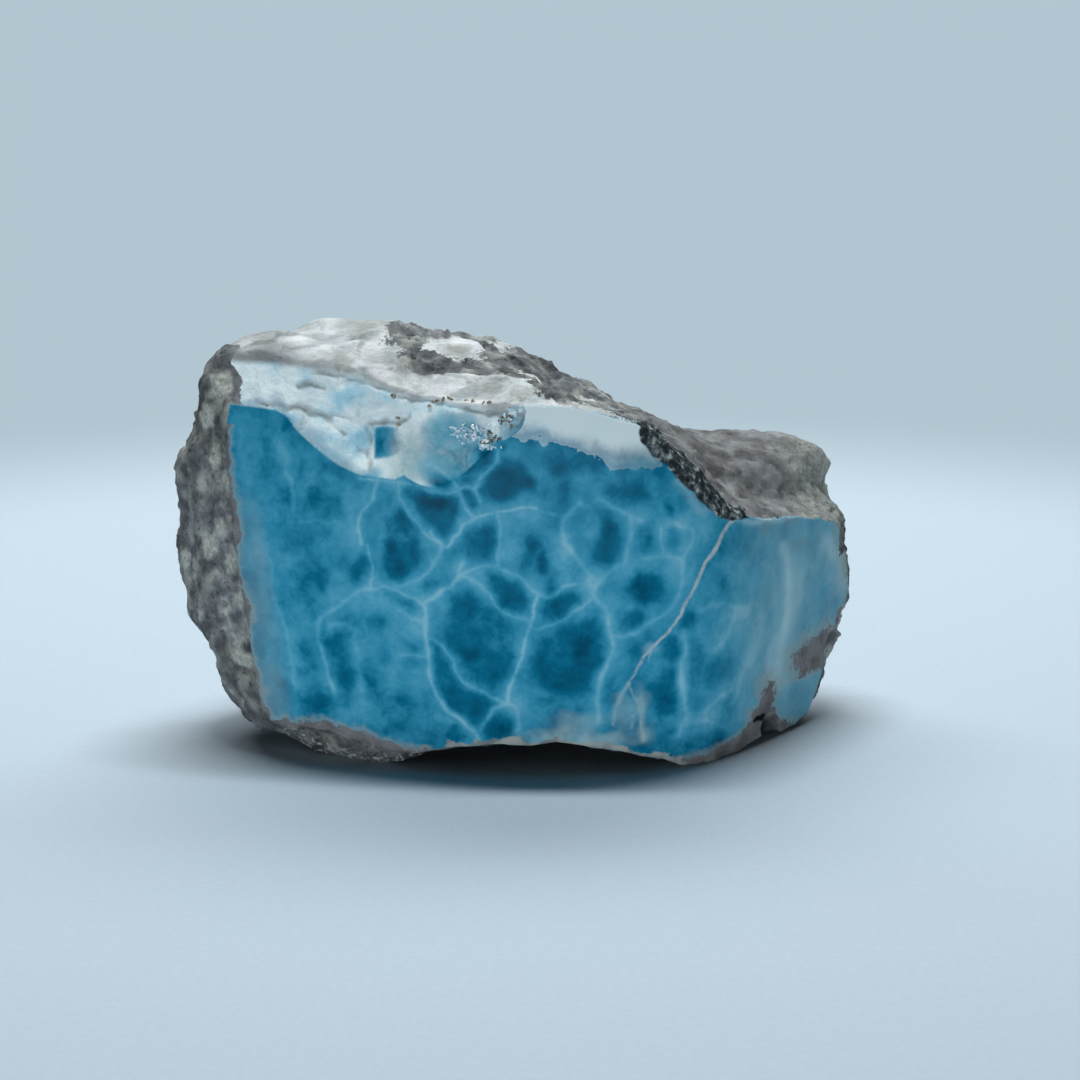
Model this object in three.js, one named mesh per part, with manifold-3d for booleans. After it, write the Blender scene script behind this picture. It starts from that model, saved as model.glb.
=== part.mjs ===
// Raw larimar: one hand-sized stone of blue pectolite grown in a cavity of grey basalt.
// The rough rock is one closed shape, lumpy and broken into flats. Its front is then ground away to a
// smooth crowned face that turns off on the right, the top left of that face is broken back in a pale
// slope with a round conchoidal scoop at its end, and the underside is trimmed where the stone stands.
// Units are millimetres, +Z is up, the ground face looks along -Y, and the stone stands on Z = 0.
import * as THREE from "three";
import Module from "manifold-3d";
import { ImprovedNoise } from "three/addons/math/ImprovedNoise.js";
import { mergeVertices } from "three/addons/utils/BufferGeometryUtils.js";

const wasm = await Module();
wasm.setup();

// --- Driving dimensions --------------------------------------------------------------------------------

const MIDDLE = new THREE.Vector3(2, 34, 33); // a point inside the stone from which all of it is in sight
const REACH = new THREE.Vector3(58, 33, 37); // about how far the stone reaches from there on each axis
const DETAIL = 18; // divisions of the ball that the rough rock is pushed out of
const SHORTEST_EDGE = 0.45; // edges below this are drawn together after the cuts
const MOST_TURN = 0.3; // cosine of the most that a triangle may turn when they are

// The ground face: its crown, where it turns to the right-hand side, and how steep the turn gets.
const CROWN = { middle: 5, radius: 100, deepest: 14, height: 35, verticalRadius: 220 };
const TURN = { at: 33, softness: 3, slope: 0.95 };

// The broken slope over the left half of the face: its lower line as [x, z], how deep it gets, how soon,
// and the low ledges across it.
const BREAK_LINE = [
  [-70, 61], [-47, 60], [-40, 59.8], [-37.8, 59.4], [-35.6, 56.5], [-31.7, 53.4], [-28.5, 51.1], [-24.7, 49.8],
  [-19, 49.3], [-13, 52.5], [-6, 57.5], [0, 61.5], [6, 66], [12, 76],
];
const BREAK = { depth: 7.2, within: 6.5, ledges: 4.4, ledgeDepth: 0.9 };

// Round conchoidal scoops out of the ground face: middle as [x, z], radius on the face, and depth.
const SCOOPS = [
  { at: [-12.4, 58.9], radius: 10.8, depth: 3.6 }, // the big one at the end of the broken slope
  { at: [-2.2, 60.6], radius: 4.2, depth: 2 }, // a chip beside it, under the crest
  { at: [44.5, 2.2], radius: 3.2, depth: 2.6 }, // the pit at the foot of the right-hand side
  { at: [57.8, 12.5], radius: 4.2, depth: 1.6 }, // the nick in the right-hand edge
];

const UNEVEN = 0.35; // share of a scoop's depth by which its surface wanders

// --- Outlines of the rough rock, each once round the stone -----------------------------------------------

// Where the rough rock comes to the ground face, as [x, z]; its depth follows from the crown.
const FACE_EDGE = [
  [58.5, 33], [57, 35.5], [49.5, 38.5], [43.5, 39.7], [37, 42], [33, 45], [29, 49.5], [25, 53], [22.5, 57.5],
  [14, 60.5], [8, 61.5], [1.5, 61.9], [-4, 61.8], [-10, 61.6], [-17, 62.5], [-22, 64.5], [-28, 66.3],
  [-35.5, 67], [-42.5, 67.2], [-46.5, 65.5], [-47.3, 60], [-47, 47.5], [-46.5, 37.5], [-45, 27], [-43.5, 17],
  [-41.5, 6.5], [-33, 7], [-28, 6.2], [-24, 5], [-19, 4], [-12, 4], [-7, 4.8], [-2, 5.6], [3, 5], [8, 6],
  [13, 4.8], [21, 3.2], [25, 2], [28, 0.6], [31, 0.2], [39, 1], [44, 2.4], [49, 0.8], [51, 0.8], [53, 4],
  [55, 9], [56, 13.5], [58, 17], [60, 22], [59.5, 27.5],
];

// The chipped lip just behind the ground face and the crest of the broken slope, as [x, y, z].
const LIP = [
  [59, 42, 33], [57.5, 41, 37], [50, 31, 40], [43.5, 22.5, 40.6], [38, 13, 43], [34, 9, 46], [30, 6.5, 51],
  [26, 5, 55], [23.5, 5, 59.2], [14, 4.5, 62], [8, 4.5, 62.8], [1.5, 5.5, 62.6], [-4, 8.5, 61.8],
  [-10, 9.5, 61.8], [-17, 10.5, 62.4], [-22, 11.6, 64.4], [-28, 13.8, 66.3], [-35.5, 16.5, 67],
  [-42.5, 19.7, 67.4], [-49.5, 20, 67.6], [-49, 17, 57], [-48.5, 16, 47.5], [-48, 15.5, 37], [-46.5, 15, 27],
  [-45.5, 15, 17], [-43.8, 15, 5.5], [-36, 12, 3.2], [-31, 10.5, 0.6], [-24, 8.5, -1], [-19, 7, -1], [-12, 5.5, 3],
  [-7, 5, 3.8], [-2, 4.6, 4.6], [3, 4.4, 4], [8, 4.4, 5], [13, 4.8, 3.8], [21, 6, 2.2], [28, 8, -0.6],
  [31, 9, -1.2], [39, 16, -0.6], [44, 21.5, 1.4], [51, 30, 0], [54, 37, 4], [56.5, 41, 13.5], [60, 44, 22],
  [60, 43.5, 28],
];

// A ring of the rough rock about a third of the way back, as [x, y, z].
const SHOULDER = [
  [59, 48, 33], [57, 47, 39], [51, 38, 40.6], [44, 30, 41.4], [38, 24, 43.4], [33, 20, 48], [28, 17, 54],
  [22.5, 15, 57.6], [16, 17, 59.8], [8, 20, 62.6], [0, 21, 65.5], [-10, 23, 68.5], [-20, 25, 70.5],
  [-30, 26, 70.5], [-40, 26, 69], [-52, 22, 68.4], [-53, 20, 64], [-51, 19, 59.5], [-54, 22, 53],
  [-55.5, 22, 45], [-55, 22, 37], [-55, 21.5, 28], [-54, 21, 19], [-51.5, 20, 10], [-46.5, 21, 3],
  [-34, 20, 0.5], [-24, 17, -0.6], [-12, 15, 3], [0, 14, 3.4], [12, 15, 2.6], [24, 16, -0.4], [36, 24, -1.2],
  [47, 32, 1.5], [53, 40, 7], [57, 46, 15], [60, 48, 24],
];

// The stone's widest ring, as [x, y, z].
const GIRTH = [
  [58.5, 51, 33], [57, 49, 40], [57.8, 47, 45.5], [55.2, 47, 49], [50, 47, 50.4], [40.5, 47, 50.2],
  [33, 46, 50], [27, 40, 52.4], [20, 34, 55.4], [15, 32, 57.4], [8, 33, 62], [1, 35, 67.2], [-6, 36, 70.8],
  [-14.5, 37, 71.8], [-21.5, 38, 73], [-28.5, 38, 74.4], [-34, 38, 73.2], [-41, 36, 71], [-51, 32, 67.5],
  [-54, 30, 60], [-56.5, 30, 54], [-59, 30, 47.5], [-58.2, 30, 42], [-57.8, 30, 35], [-58, 30, 28],
  [-57.6, 30, 20], [-55.2, 29, 12], [-49.5, 28, 4], [-34, 30, 1.2], [-20, 32, 0.6], [-4, 34, 0.4],
  [12, 36, 0], [26, 38, 0], [40, 41, 2], [50, 46, 8], [56, 50, 16], [58.5, 51, 25],
];

// The last ring before the back closes, as [x, y, z].
const REAR = [
  [50, 60, 33], [49, 59, 42], [40, 60, 47], [30, 60, 47], [21, 59, 49], [12, 58, 55], [3, 57, 60],
  [-8, 58, 63], [-20, 58, 64], [-32, 56, 63], [-42, 52, 58], [-49, 50, 49], [-50, 50, 38], [-48, 51, 26],
  [-44, 51, 15], [-36, 52, 5], [-24, 54, -1], [-8, 56, -2], [8, 57, -2], [22, 57, -1], [34, 57, 4],
  [42, 58, 12], [48, 60, 22],
];
const BACK = 67; // how far back the rock would close without its flats

// Broken flats that cut the rough rock, each a point on the flat and the way it looks.
const FLATS = [
  { at: [-6, 62, 40], looks: [-0.1, 1, 0.22] }, // the big break at the back
  { at: [-30, 55, 52], looks: [-0.5, 0.75, 0.75] },
  { at: [-8, 56, 62], looks: [0.15, 0.75, 1] },
  { at: [24, 56, 50.5], looks: [0.12, 0.6, 1] },
  { at: [-47, 46, 34], looks: [-1, 0.75, 0.1] },
  { at: [50, 57, 30], looks: [0.8, 1, -0.1] },
  { at: [30, 58, 12], looks: [0.3, 0.9, -0.6] },
  { at: [-28, 56, 12], looks: [-0.3, 0.9, -0.75] },
  { at: [-50, 44, 14], looks: [-0.9, 0.5, -0.7] },
  { at: [-57.5, 26, 44], looks: [-1, -0.3, 0.1] },
  { at: [-57, 27, 24], looks: [-1, -0.1, -0.35] },
  { at: [-54, 34, 64], looks: [-0.8, 0.45, 0.8] },
];

// --- Relief of the rough rock ---------------------------------------------------------------------------

const RELIEF = { start: 0.8, full: 6 }; // mm behind the face where lumps begin and reach full height
const LUMPS = { size: 21, height: 2.2 };
const RIDGES = { size: 11, height: 2.4 };
const KNOBS = { size: 6, height: 1 };
const LEDGES = { along: [0.3, 0.5, 0.85], spacing: 10, height: 1.1 };
const noise = new ImprovedNoise();

// Depth of the ground face at a place on it.
function faceDepth(x, z) {
  const crown = (x - CROWN.middle) ** 2 / (2 * CROWN.radius);
  const upright = (z - CROWN.height) ** 2 / (2 * CROWN.verticalRadius);
  const turn = TURN.slope * TURN.softness * Math.log(1 + Math.exp((x - TURN.at) / TURN.softness));
  return Math.min(crown, CROWN.deepest) + upright + turn;
}

// The way the ground face looks at a place on it.
function faceNormal(x, z) {
  const step = 0.5;
  const across = (faceDepth(x + step, z) - faceDepth(x - step, z)) / (2 * step);
  const up = (faceDepth(x, z + step) - faceDepth(x, z - step)) / (2 * step);
  return new THREE.Vector3(across, -1, up).normalize();
}

// A saw of steps: rises slowly over each unit and drops over its last fifth.
function steps(t) {
  const part = t - Math.floor(t);
  return part < 0.8 ? part / 0.8 : (1 - part) / 0.2;
}

// How far the rough rock stands out from its outlines at a point.
function relief(p) {
  const at = (size, shift) => noise.noise(p.x / size + shift, p.y / size + 3.1, p.z / size - shift);
  const along = p.dot(new THREE.Vector3(...LEDGES.along).normalize());
  const lumps = LUMPS.height * at(LUMPS.size, 0);
  const ridges = RIDGES.height * (0.3 - Math.abs(at(RIDGES.size, 7.3)));
  const knobs = KNOBS.height * at(KNOBS.size, 12.9);
  const ledges = LEDGES.height * (steps(along / LEDGES.spacing + 0.6 * at(LUMPS.size, 4.4)) - 0.5);
  return lumps + ridges + knobs + ledges;
}

// --- Solids to join and cut -------------------------------------------------------------------------------

// A closed geometry as a solid that can be cut.
function solid(geometry) {
  geometry.deleteAttribute("normal");
  geometry.deleteAttribute("uv");
  const merged = mergeVertices(geometry);
  const vertProperties = new Float32Array(merged.attributes.position.array);
  const triVerts = new Uint32Array(merged.index.array);
  return new wasm.Manifold(new wasm.Mesh({ numProp: 3, vertProperties, triVerts }));
}

// A block filling the space in front of a surface given as its depth over x and z.
function blockBefore(surface, { x, z, step }) {
  const [width, height] = [x[1] - x[0], z[1] - z[0]];
  const block = new THREE.BoxGeometry(width, 1, height, width / step[0], 1, height / step[1]);
  block.translate((x[0] + x[1]) / 2, 0, (z[0] + z[1]) / 2);
  const place = block.attributes.position;
  for (let i = 0; i < place.count; i++) {
    place.setY(i, place.getY(i) < 0 ? -30 : surface(place.getX(i), place.getZ(i)));
  }
  return solid(block);
}

// --- The rough rock ---------------------------------------------------------------------------------------

// Where an outline lies in one direction from the stone's axis: its depth and its distance from the axis.
function crossing(outline, angle) {
  const [dx, dz] = [Math.cos(angle), Math.sin(angle)];
  let found = { reach: 0 };
  outline.forEach((p, i) => {
    const q = outline[(i + 1) % outline.length];
    const [px, pz] = [p[0] - MIDDLE.x, p.at(-1) - MIDDLE.z];
    const [ex, ez] = [q[0] - p[0], q.at(-1) - p.at(-1)];
    const across = dx * ez - dz * ex;
    const reach = (px * ez - pz * ex) / across;
    const along = (px * dz - pz * dx) / across;
    if (along < 0 || along > 1 || !(reach > found.reach)) return;
    const onFace = () => faceDepth(MIDDLE.x + reach * dx, MIDDLE.z + reach * dz);
    found = { reach, y: p.length === 2 ? onFace() : p[1] + along * (q[1] - p[1]) };
  });
  return found;
}

// How far the rock reaches from its middle along a direction, before its relief.
function reachOf(direction) {
  const out = Math.hypot(direction.x, direction.z);
  const angle = Math.atan2(direction.z, direction.x);
  const edge = crossing(FACE_EDGE, angle);
  const rings = [LIP, SHOULDER, GIRTH, REAR].map((outline) => crossing(outline, angle));
  const before = -8; // ahead of all of the ground face
  const front = [{ y: before, reach: 0 }, { y: before, reach: edge.reach }];
  const side = [...front, edge, ...rings, { y: BACK, reach: 0 }];
  let far = Infinity;
  for (let i = 0; i + 1 < side.length; i++) {
    const [a, b] = [side[i], side[i + 1]];
    const [ey, er] = [b.y - a.y, b.reach - a.reach];
    const across = direction.y * er - out * ey;
    const t = ((a.y - MIDDLE.y) * er - a.reach * ey) / across;
    const along = ((a.y - MIDDLE.y) * out - a.reach * direction.y) / across;
    if (along >= -1e-6 && along <= 1 + 1e-6 && t > 0) far = Math.min(far, t);
  }
  for (const flat of FLATS) {
    const looks = new THREE.Vector3(...flat.looks);
    const rise = looks.dot(direction);
    const away = looks.dot(new THREE.Vector3(...flat.at).sub(MIDDLE));
    if (rise > 0) far = Math.min(far, away / rise);
  }
  return far;
}

function roughRock() {
  const ball = new THREE.IcosahedronGeometry(1, DETAIL);
  ball.deleteAttribute("normal");
  ball.deleteAttribute("uv");
  const rock = mergeVertices(ball);
  const place = rock.attributes.position;
  for (let i = 0; i < place.count; i++) {
    const direction = new THREE.Vector3().fromBufferAttribute(place, i).multiply(REACH).normalize();
    const p = MIDDLE.clone().addScaledVector(direction, reachOf(direction));
    const behind = p.y - faceDepth(p.x, p.z);
    const share = THREE.MathUtils.smoothstep(behind, RELIEF.start, RELIEF.full);
    p.addScaledVector(direction, share * relief(p));
    place.setXYZ(i, p.x, p.y, p.z);
  }
  return solid(rock);
}

// --- The cuts ---------------------------------------------------------------------------------------------

// Height above the lower line of the broken slope, measured square to that line.
function aboveBreak(x, z) {
  let nearest = { distance: Infinity, above: 0 };
  for (let i = 0; i + 1 < BREAK_LINE.length; i++) {
    const [[ax, az], [bx, bz]] = [BREAK_LINE[i], BREAK_LINE[i + 1]];
    const [ex, ez] = [bx - ax, bz - az];
    const along = THREE.MathUtils.clamp(((x - ax) * ex + (z - az) * ez) / (ex * ex + ez * ez), 0, 1);
    const distance = Math.hypot(x - ax - along * ex, z - az - along * ez);
    const above = ex * (z - az) - ez * (x - ax);
    if (distance < nearest.distance) nearest = { distance, above };
  }
  return Math.sign(nearest.above) * nearest.distance;
}

function brokenDepth(x, z) {
  const above = aboveBreak(x, z);
  if (above < 0) return faceDepth(x, z) + above;
  const rough = noise.noise(x / 7, 1.7, z / 5);
  const ledge = BREAK.ledgeDepth * (steps(above / BREAK.ledges + 0.8 * rough) - 0.5);
  const back = BREAK.depth * (1 - Math.exp(-above / BREAK.within));
  return faceDepth(x, z) + back + Math.min(above / 3, 1) * (ledge + 0.6 * rough);
}

// The uneven ball whose cap leaves a roundish scoop in the ground face.
function scoopBall({ at, radius, depth }) {
  const size = (radius ** 2 + depth ** 2) / (2 * depth);
  const ball = new THREE.IcosahedronGeometry(size, Math.round(5 + radius));
  const middle = new THREE.Vector3(at[0], faceDepth(at[0], at[1]), at[1]);
  middle.addScaledVector(faceNormal(at[0], at[1]), size - depth);
  const place = ball.attributes.position;
  const p = new THREE.Vector3();
  for (let i = 0; i < place.count; i++) {
    p.fromBufferAttribute(place, i);    const wave = 0.8 * radius;
    p.multiplyScalar(1 + (UNEVEN * depth / size) * noise.noise(p.x / wave, p.y / wave, p.z / wave));
    place.setXYZ(i, middle.x + p.x, middle.y + p.y, middle.z + p.z);
  }
  return solid(ball);
}

// --- Finishing the mesh -----------------------------------------------------------------------------------

// How firmly a corner is held: those on the ground face and on the standing plane stay where they are.
function hold(p) {
  const onFace = Math.abs(p.y - faceDepth(p.x, p.z)) < 0.08;
  return (onFace ? 2 : 0) + (p.z < 0.01 ? 1 : 0);
}

// The way a triangle looks, as a vector that is longer the larger the triangle is.
function looksOf(points, [a, b, c]) {
  const ab = points[b].clone().sub(points[a]);
  return ab.cross(points[c].clone().sub(points[a]));
}

// Draws the short edges of a mesh together, so that the cuts leave no slivers. An edge stays where drawing
// it together would fold the mesh or turn a triangle sharply.
function drawTogether(points, faces) {
  const around = points.map(() => new Set());
  faces.forEach((face) => face.forEach((corner) => around[corner].add(face)));
  const beside = (corner) => new Set([...around[corner]].flat());
  const busy = new Set();
  for (const face of faces) {
    for (let i = 0; i < 3; i++) {
      const [a, b] = [face[i], face[(i + 1) % 3]];
      if (a === b || busy.has(a) || busy.has(b)) continue;
      if (points[a].distanceTo(points[b]) > SHORTEST_EDGE) continue;
      const [keep, drop] = hold(points[a]) >= hold(points[b]) ? [a, b] : [b, a];
      const near = beside(keep);
      const shared = [...beside(drop)].filter((corner) => near.has(corner)).length - 2;
      const moving = [...around[drop]].filter((f) => !f.includes(keep));
      const moved = (f) => f.map((corner) => (corner === drop ? keep : corner));
      const turns = moving.some((f) => {
        const [before, after] = [looksOf(points, f), looksOf(points, moved(f))];
        return before.dot(after) < MOST_TURN * before.length() * after.length();
      });
      if (shared !== 2 || turns) continue;
      [...around[drop], ...around[keep]].flat().forEach((corner) => busy.add(corner));
      around[drop].forEach((f) => f.splice(0, 3, ...moved(f)));
    }
  }
  return faces.filter((face) => new Set(face).size === 3);
}

function stoneGeometry() {
  const ground = blockBefore(faceDepth, { x: [-72, 72], z: [-8, 84], step: [2.4, 4.6] });
  const broken = blockBefore(brokenDepth, { x: [-71, 21], z: [41, 85], step: [2, 2] });
  const below = solid(new THREE.BoxGeometry(200, 200, 40).translate(0, 0, -20));
  let cut = roughRock().subtract(ground).subtract(broken).subtract(below);
  for (const scoop of SCOOPS) cut = cut.subtract(scoopBall(scoop));
  const mesh = cut.getMesh();
  const place = new THREE.BufferAttribute(mesh.vertProperties, 3);
  const corner = (i) => new THREE.Vector3().fromBufferAttribute(place, i);
  const points = Array.from({ length: place.count }, (_, i) => corner(i));
  const triangle = (i) => [...mesh.triVerts.subarray(3 * i, 3 * i + 3)];
  let faces = Array.from({ length: mesh.triVerts.length / 3 }, (_, i) => triangle(i));
  for (let pass = 0; pass < 5; pass++) faces = drawTogether(points, faces);
  const whole = new THREE.BufferGeometry().setFromPoints(faces.flat().map((i) => points[i]));
  const geometry = mergeVertices(whole, 1e-5);
  geometry.computeBoundingBox();
  const middle = geometry.boundingBox.getCenter(new THREE.Vector3());
  return geometry.translate(-middle.x, -middle.y, 0);
}

const stone = new THREE.Mesh(
  stoneGeometry(),
  new THREE.MeshStandardMaterial({ color: 0x3f8cae, roughness: 0.35, metalness: 0 }),
);
stone.name = "stone";

const larimar = new THREE.Group();
larimar.add(stone);

export default larimar;
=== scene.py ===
import math

import bmesh
import bpy
import numpy as np
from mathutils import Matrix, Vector, kdtree, noise


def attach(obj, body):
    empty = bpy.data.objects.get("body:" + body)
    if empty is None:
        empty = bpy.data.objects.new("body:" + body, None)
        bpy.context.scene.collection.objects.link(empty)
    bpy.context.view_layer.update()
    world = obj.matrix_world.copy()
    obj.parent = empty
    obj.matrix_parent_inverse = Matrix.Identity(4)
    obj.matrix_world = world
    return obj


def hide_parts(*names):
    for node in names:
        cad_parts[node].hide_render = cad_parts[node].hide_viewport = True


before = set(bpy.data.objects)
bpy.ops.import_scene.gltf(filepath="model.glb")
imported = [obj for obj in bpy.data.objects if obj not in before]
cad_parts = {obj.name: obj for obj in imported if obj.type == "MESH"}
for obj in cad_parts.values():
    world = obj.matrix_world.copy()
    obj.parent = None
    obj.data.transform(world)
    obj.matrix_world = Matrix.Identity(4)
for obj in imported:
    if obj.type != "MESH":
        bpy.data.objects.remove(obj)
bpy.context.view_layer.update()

scene = bpy.context.scene
scene.view_settings.view_transform = "Standard"
scene.view_settings.look = "None"


# ---- Camera ----
# A long lens on a low stand, some 40 cm in front of the stone. It looks down at the ground face.
# The stone keeps the frame's place, and the camera is set to it.
LOOK_DOWN = 12             # how far the lens points down, in degrees
camera = bpy.data.objects.new("camera", bpy.data.cameras.new("camera"))
camera.data.sensor_width = 36
camera.data.lens = 79.87
camera.location = (0.00391, -0.41259, 0.12087)
camera.rotation_euler = (math.radians(90 - LOOK_DOWN), 0, 0)
scene.collection.objects.link(camera)
scene.camera = camera


# ---- Floor and studio light ----
# A wide sheet of pale blue matt card under the stone. A softbox hangs behind, and a strip nearly overhead
# gives the crisp front edge of the shadow. A long low window lamp in front lights the ground face.
def colour(code, alpha=1.0):
    """A colour written as an sRGB hex code, as linear red, green, blue and alpha."""
    parts = [int(code[i:i + 2], 16) / 255 for i in (1, 3, 5)]
    return tuple(c / 12.92 if c <= 0.04045 else ((c + 0.055) / 1.055) ** 2.4 for c in parts) + (alpha,)


def add(tree, kind, inputs=None, give=0, stops=None, **settings):
    """Adds a node, applies its settings, links or sets its inputs, and gives back one of its outputs."""
    node = tree.nodes.new(kind)
    for name, value in settings.items():
        setattr(node, name, value)
    for name, value in (inputs or {}).items():
        if isinstance(value, bpy.types.NodeSocket):
            tree.links.new(value, node.inputs[name])
        else:
            node.inputs[name].default_value = value
    if stops:
        ramp = node.color_ramp
        while len(ramp.elements) < len(stops):
            ramp.elements.new(0.5)
        for element, (at, value) in zip(ramp.elements, stops):
            element.position = at
            element.color = colour(value) if isinstance(value, str) else (value, value, value, 1)
    return node.outputs[give]


CARD_GRAIN = 900.0         # grains of the card in a metre, each about 1.1 mm
CARD_END = (0.20, 0.37)    # how far from its middle the card starts to fade out and is gone, in metres
CARD_RADIUS = 3            # metres
CARD_SIDES = 96

# Matt card: rough and hardly glossy, so it takes soft shadows and mirrors nothing.
card = bpy.data.materials.new("pale blue matt card")
card.use_nodes = True
sheet = card.node_tree
card_surface = sheet.nodes["Principled BSDF"]
card_surface.inputs["Roughness"].default_value = 0.75
card_surface.inputs["Specular IOR Level"].default_value = 0.25
card_place = add(sheet, "ShaderNodeTexCoord", give="Object")
card_grain = add(sheet, "ShaderNodeTexNoise", {"Scale": CARD_GRAIN, "Detail": 3.0, "Vector": card_place})
card_tint = add(sheet, "ShaderNodeValToRGB", {"Fac": card_grain}, stops=[(0.3, "#bdccd4"), (0.7, "#c1d0d8")])
sheet.links.new(card_tint, card_surface.inputs["Base Color"])
from_middle = add(sheet, "ShaderNodeVectorMath", {0: card_place}, give="Value", operation="LENGTH")
card_edge = add(sheet, "ShaderNodeMapRange", {"Value": from_middle, "From Min": CARD_END[0],
    "From Max": CARD_END[1]}, interpolation_type="SMOOTHSTEP")
card_end = add(sheet, "ShaderNodeMixShader", {0: card_edge, 1: card_surface.outputs[0],
    2: add(sheet, "ShaderNodeBsdfTransparent")})
sheet.links.new(card_end, sheet.nodes["Material Output"].inputs["Surface"])

floor_mesh = bpy.data.meshes.new("floor")
turns = [side * math.tau / CARD_SIDES for side in range(CARD_SIDES)]
rim_points = [(CARD_RADIUS * math.cos(a), CARD_RADIUS * math.sin(a), 0) for a in turns]
floor_mesh.from_pydata(rim_points, [], [list(range(CARD_SIDES))])
floor_mesh.materials.append(card)
floor = bpy.data.objects.new("floor", floor_mesh)
scene.collection.objects.link(floor)

# Each lamp: where it stands, its width and height in metres, its power in watts, and its tint.
LAMPS = {
    "softbox": ((-0.04, 0.52, 0.68), (1.15, 0.32), 6.2, "#f6faff"),
    "strip": ((0.0, 0.08, 0.72), (0.42, 0.055), 3.7, "#f6faff"),
    "window": ((-0.20, -1.3, 0.012), (1.6, 0.06), 9.9, "#f0f6ff"),
}
AIM = Vector((0, 0, 0.035))   # about the middle of the stone
for name, (stand, size, power, tint) in LAMPS.items():
    lamp = bpy.data.lights.new(name, "AREA")
    lamp.shape = "RECTANGLE"
    lamp.size, lamp.size_y = size
    lamp.energy = power
    lamp.color = colour(tint)[:3]
    holder = bpy.data.objects.new(name, lamp)
    holder.location = stand
    holder.rotation_euler = (AIM - Vector(stand)).to_track_quat("-Z", "Y").to_euler()
    holder.visible_camera = False
    scene.collection.objects.link(holder)

# The room: pale low down in front, where it meets the card, and dark above and behind the camera.
room = bpy.data.worlds.new("room")
room.use_nodes = True
air = room.node_tree
facing = add(air, "ShaderNodeTexCoord", give="Generated")
upward = add(air, "ShaderNodeSeparateXYZ", {0: facing}, give="Z")
behind = add(air, "ShaderNodeSeparateXYZ", {0: facing}, give="Y")
walls = add(air, "ShaderNodeValToRGB", {"Fac": upward}, stops=[(0.03, "#b2c6d1"), (0.18, "#2c3134")])
far_wall = add(air, "ShaderNodeMapRange", {"Value": behind, "From Min": -0.15, "From Max": 0.35})
walls = add(air, "ShaderNodeMix", {0: far_wall, 6: colour("#1c2022"), 7: walls}, give=2, data_type="RGBA")
air.links.new(walls, air.nodes["Background"].inputs["Color"])
air.nodes["Background"].inputs["Strength"].default_value = 1.0
scene.world = room


# ---- The stone: its body ----
# One lump of basalt that holds a pocket of larimar. The pocket was cut open and ground to a low dome that
# turns away near its right end. The rest is as it broke. The body is finer than the solid under it, so that
# its edges and its broken sides can be worked.
MM = 1000.0                # millimetres in a metre
ORIGIN = (0.589, 33.072)   # from the middle of the drawing to the middle of the stone, in millimetres
FACE_STEP = 0.62           # longest edge on the ground face, in millimetres
ROCK_STEP = 1.1            # longest edge on the broken sides
UNDER_STEP = 2.2           # longest edge underneath, where the stone stands
GROUND_SLIP = 0.06         # how far off the dome a corner of the ground face may lie
ROUNDS = 7                 # times that long edges are halved, at most


def ground_depth(x, z):
    """How far back the ground face lies, in millimetres."""
    x = x + ORIGIN[0]
    dome = np.minimum((x - 5) ** 2 / 200, 14) + (z - 35) ** 2 / 440
    return dome + 0.95 * 3 * np.logaddexp(0, (x - 33) / 3) - ORIGIN[1]


body = bmesh.new()
body.from_mesh(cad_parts["stone"].data)
bmesh.ops.remove_doubles(body, verts=body.verts, dist=1e-6)
on_face = body.faces.layers.int.new("ground")
for face in body.faces:
    gaps = [abs(v.co.y * MM - ground_depth(v.co.x * MM, v.co.z * MM)) for v in face.verts]
    face[on_face] = int(max(gaps) < GROUND_SLIP and face.normal.y < -0.2)


def longest(edge):
    """How long an edge may stay, in millimetres."""
    middle = (edge.verts[0].co + edge.verts[1].co) * (MM / 2)
    over_face = middle.z > 48 and middle.x < 22 and middle.y < ground_depth(middle.x, middle.z) + 14
    if over_face or any(f[on_face] for f in edge.link_faces):
        return FACE_STEP
    underneath = all(f.normal.z < -0.6 for f in edge.link_faces) and edge.verts[0].co.z < 0.006
    return UNDER_STEP if underneath else ROCK_STEP


for _ in range(ROUNDS):
    long_edges = [e for e in body.edges if e.calc_length() * MM > longest(e)]
    if not long_edges:
        break
    bmesh.ops.subdivide_edges(body, edges=long_edges, cuts=1)
    bmesh.ops.triangulate(body, faces=[f for f in body.faces if len(f.verts) > 3])

body.verts.index_update()
points = np.array([v.co for v in body.verts]) * MM
edges = np.array([[v.index for v in e.verts] for e in body.edges])
corners = np.array([[v.index for v in f.verts] for f in body.faces])
ground = np.array([bool(f[on_face]) for f in body.faces])
touches_ground = np.zeros(len(points), bool)
touches_ground[corners[ground].ravel()] = True
touches_rock = np.zeros(len(points), bool)
touches_rock[corners[~ground].ravel()] = True
is_rim = touches_ground & touches_rock
is_face = touches_ground & ~touches_rock
is_rock = ~touches_ground


def relax(points, moving, rounds, share):
    """Draws each moving point towards the middle of its neighbours, which rounds off the flats."""
    a, b = edges.T
    count = np.bincount(edges.ravel(), minlength=len(points))[:, None]
    for _ in range(rounds):
        sums = [np.bincount(a, points[b, i], len(points)) + np.bincount(b, points[a, i], len(points))
            for i in range(3)]
        middle = np.stack(sums, axis=1) / count
        points = points + (middle - points) * moving[:, None] * share
    return points


def far_from(places, marks):
    """Distance from each place to the nearest of the marks, in millimetres."""
    tree = kdtree.KDTree(len(marks))
    for i, mark in enumerate(marks):
        tree.insert(mark, i)
    tree.balance()
    return np.array([tree.find(p)[2] for p in places])


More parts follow.
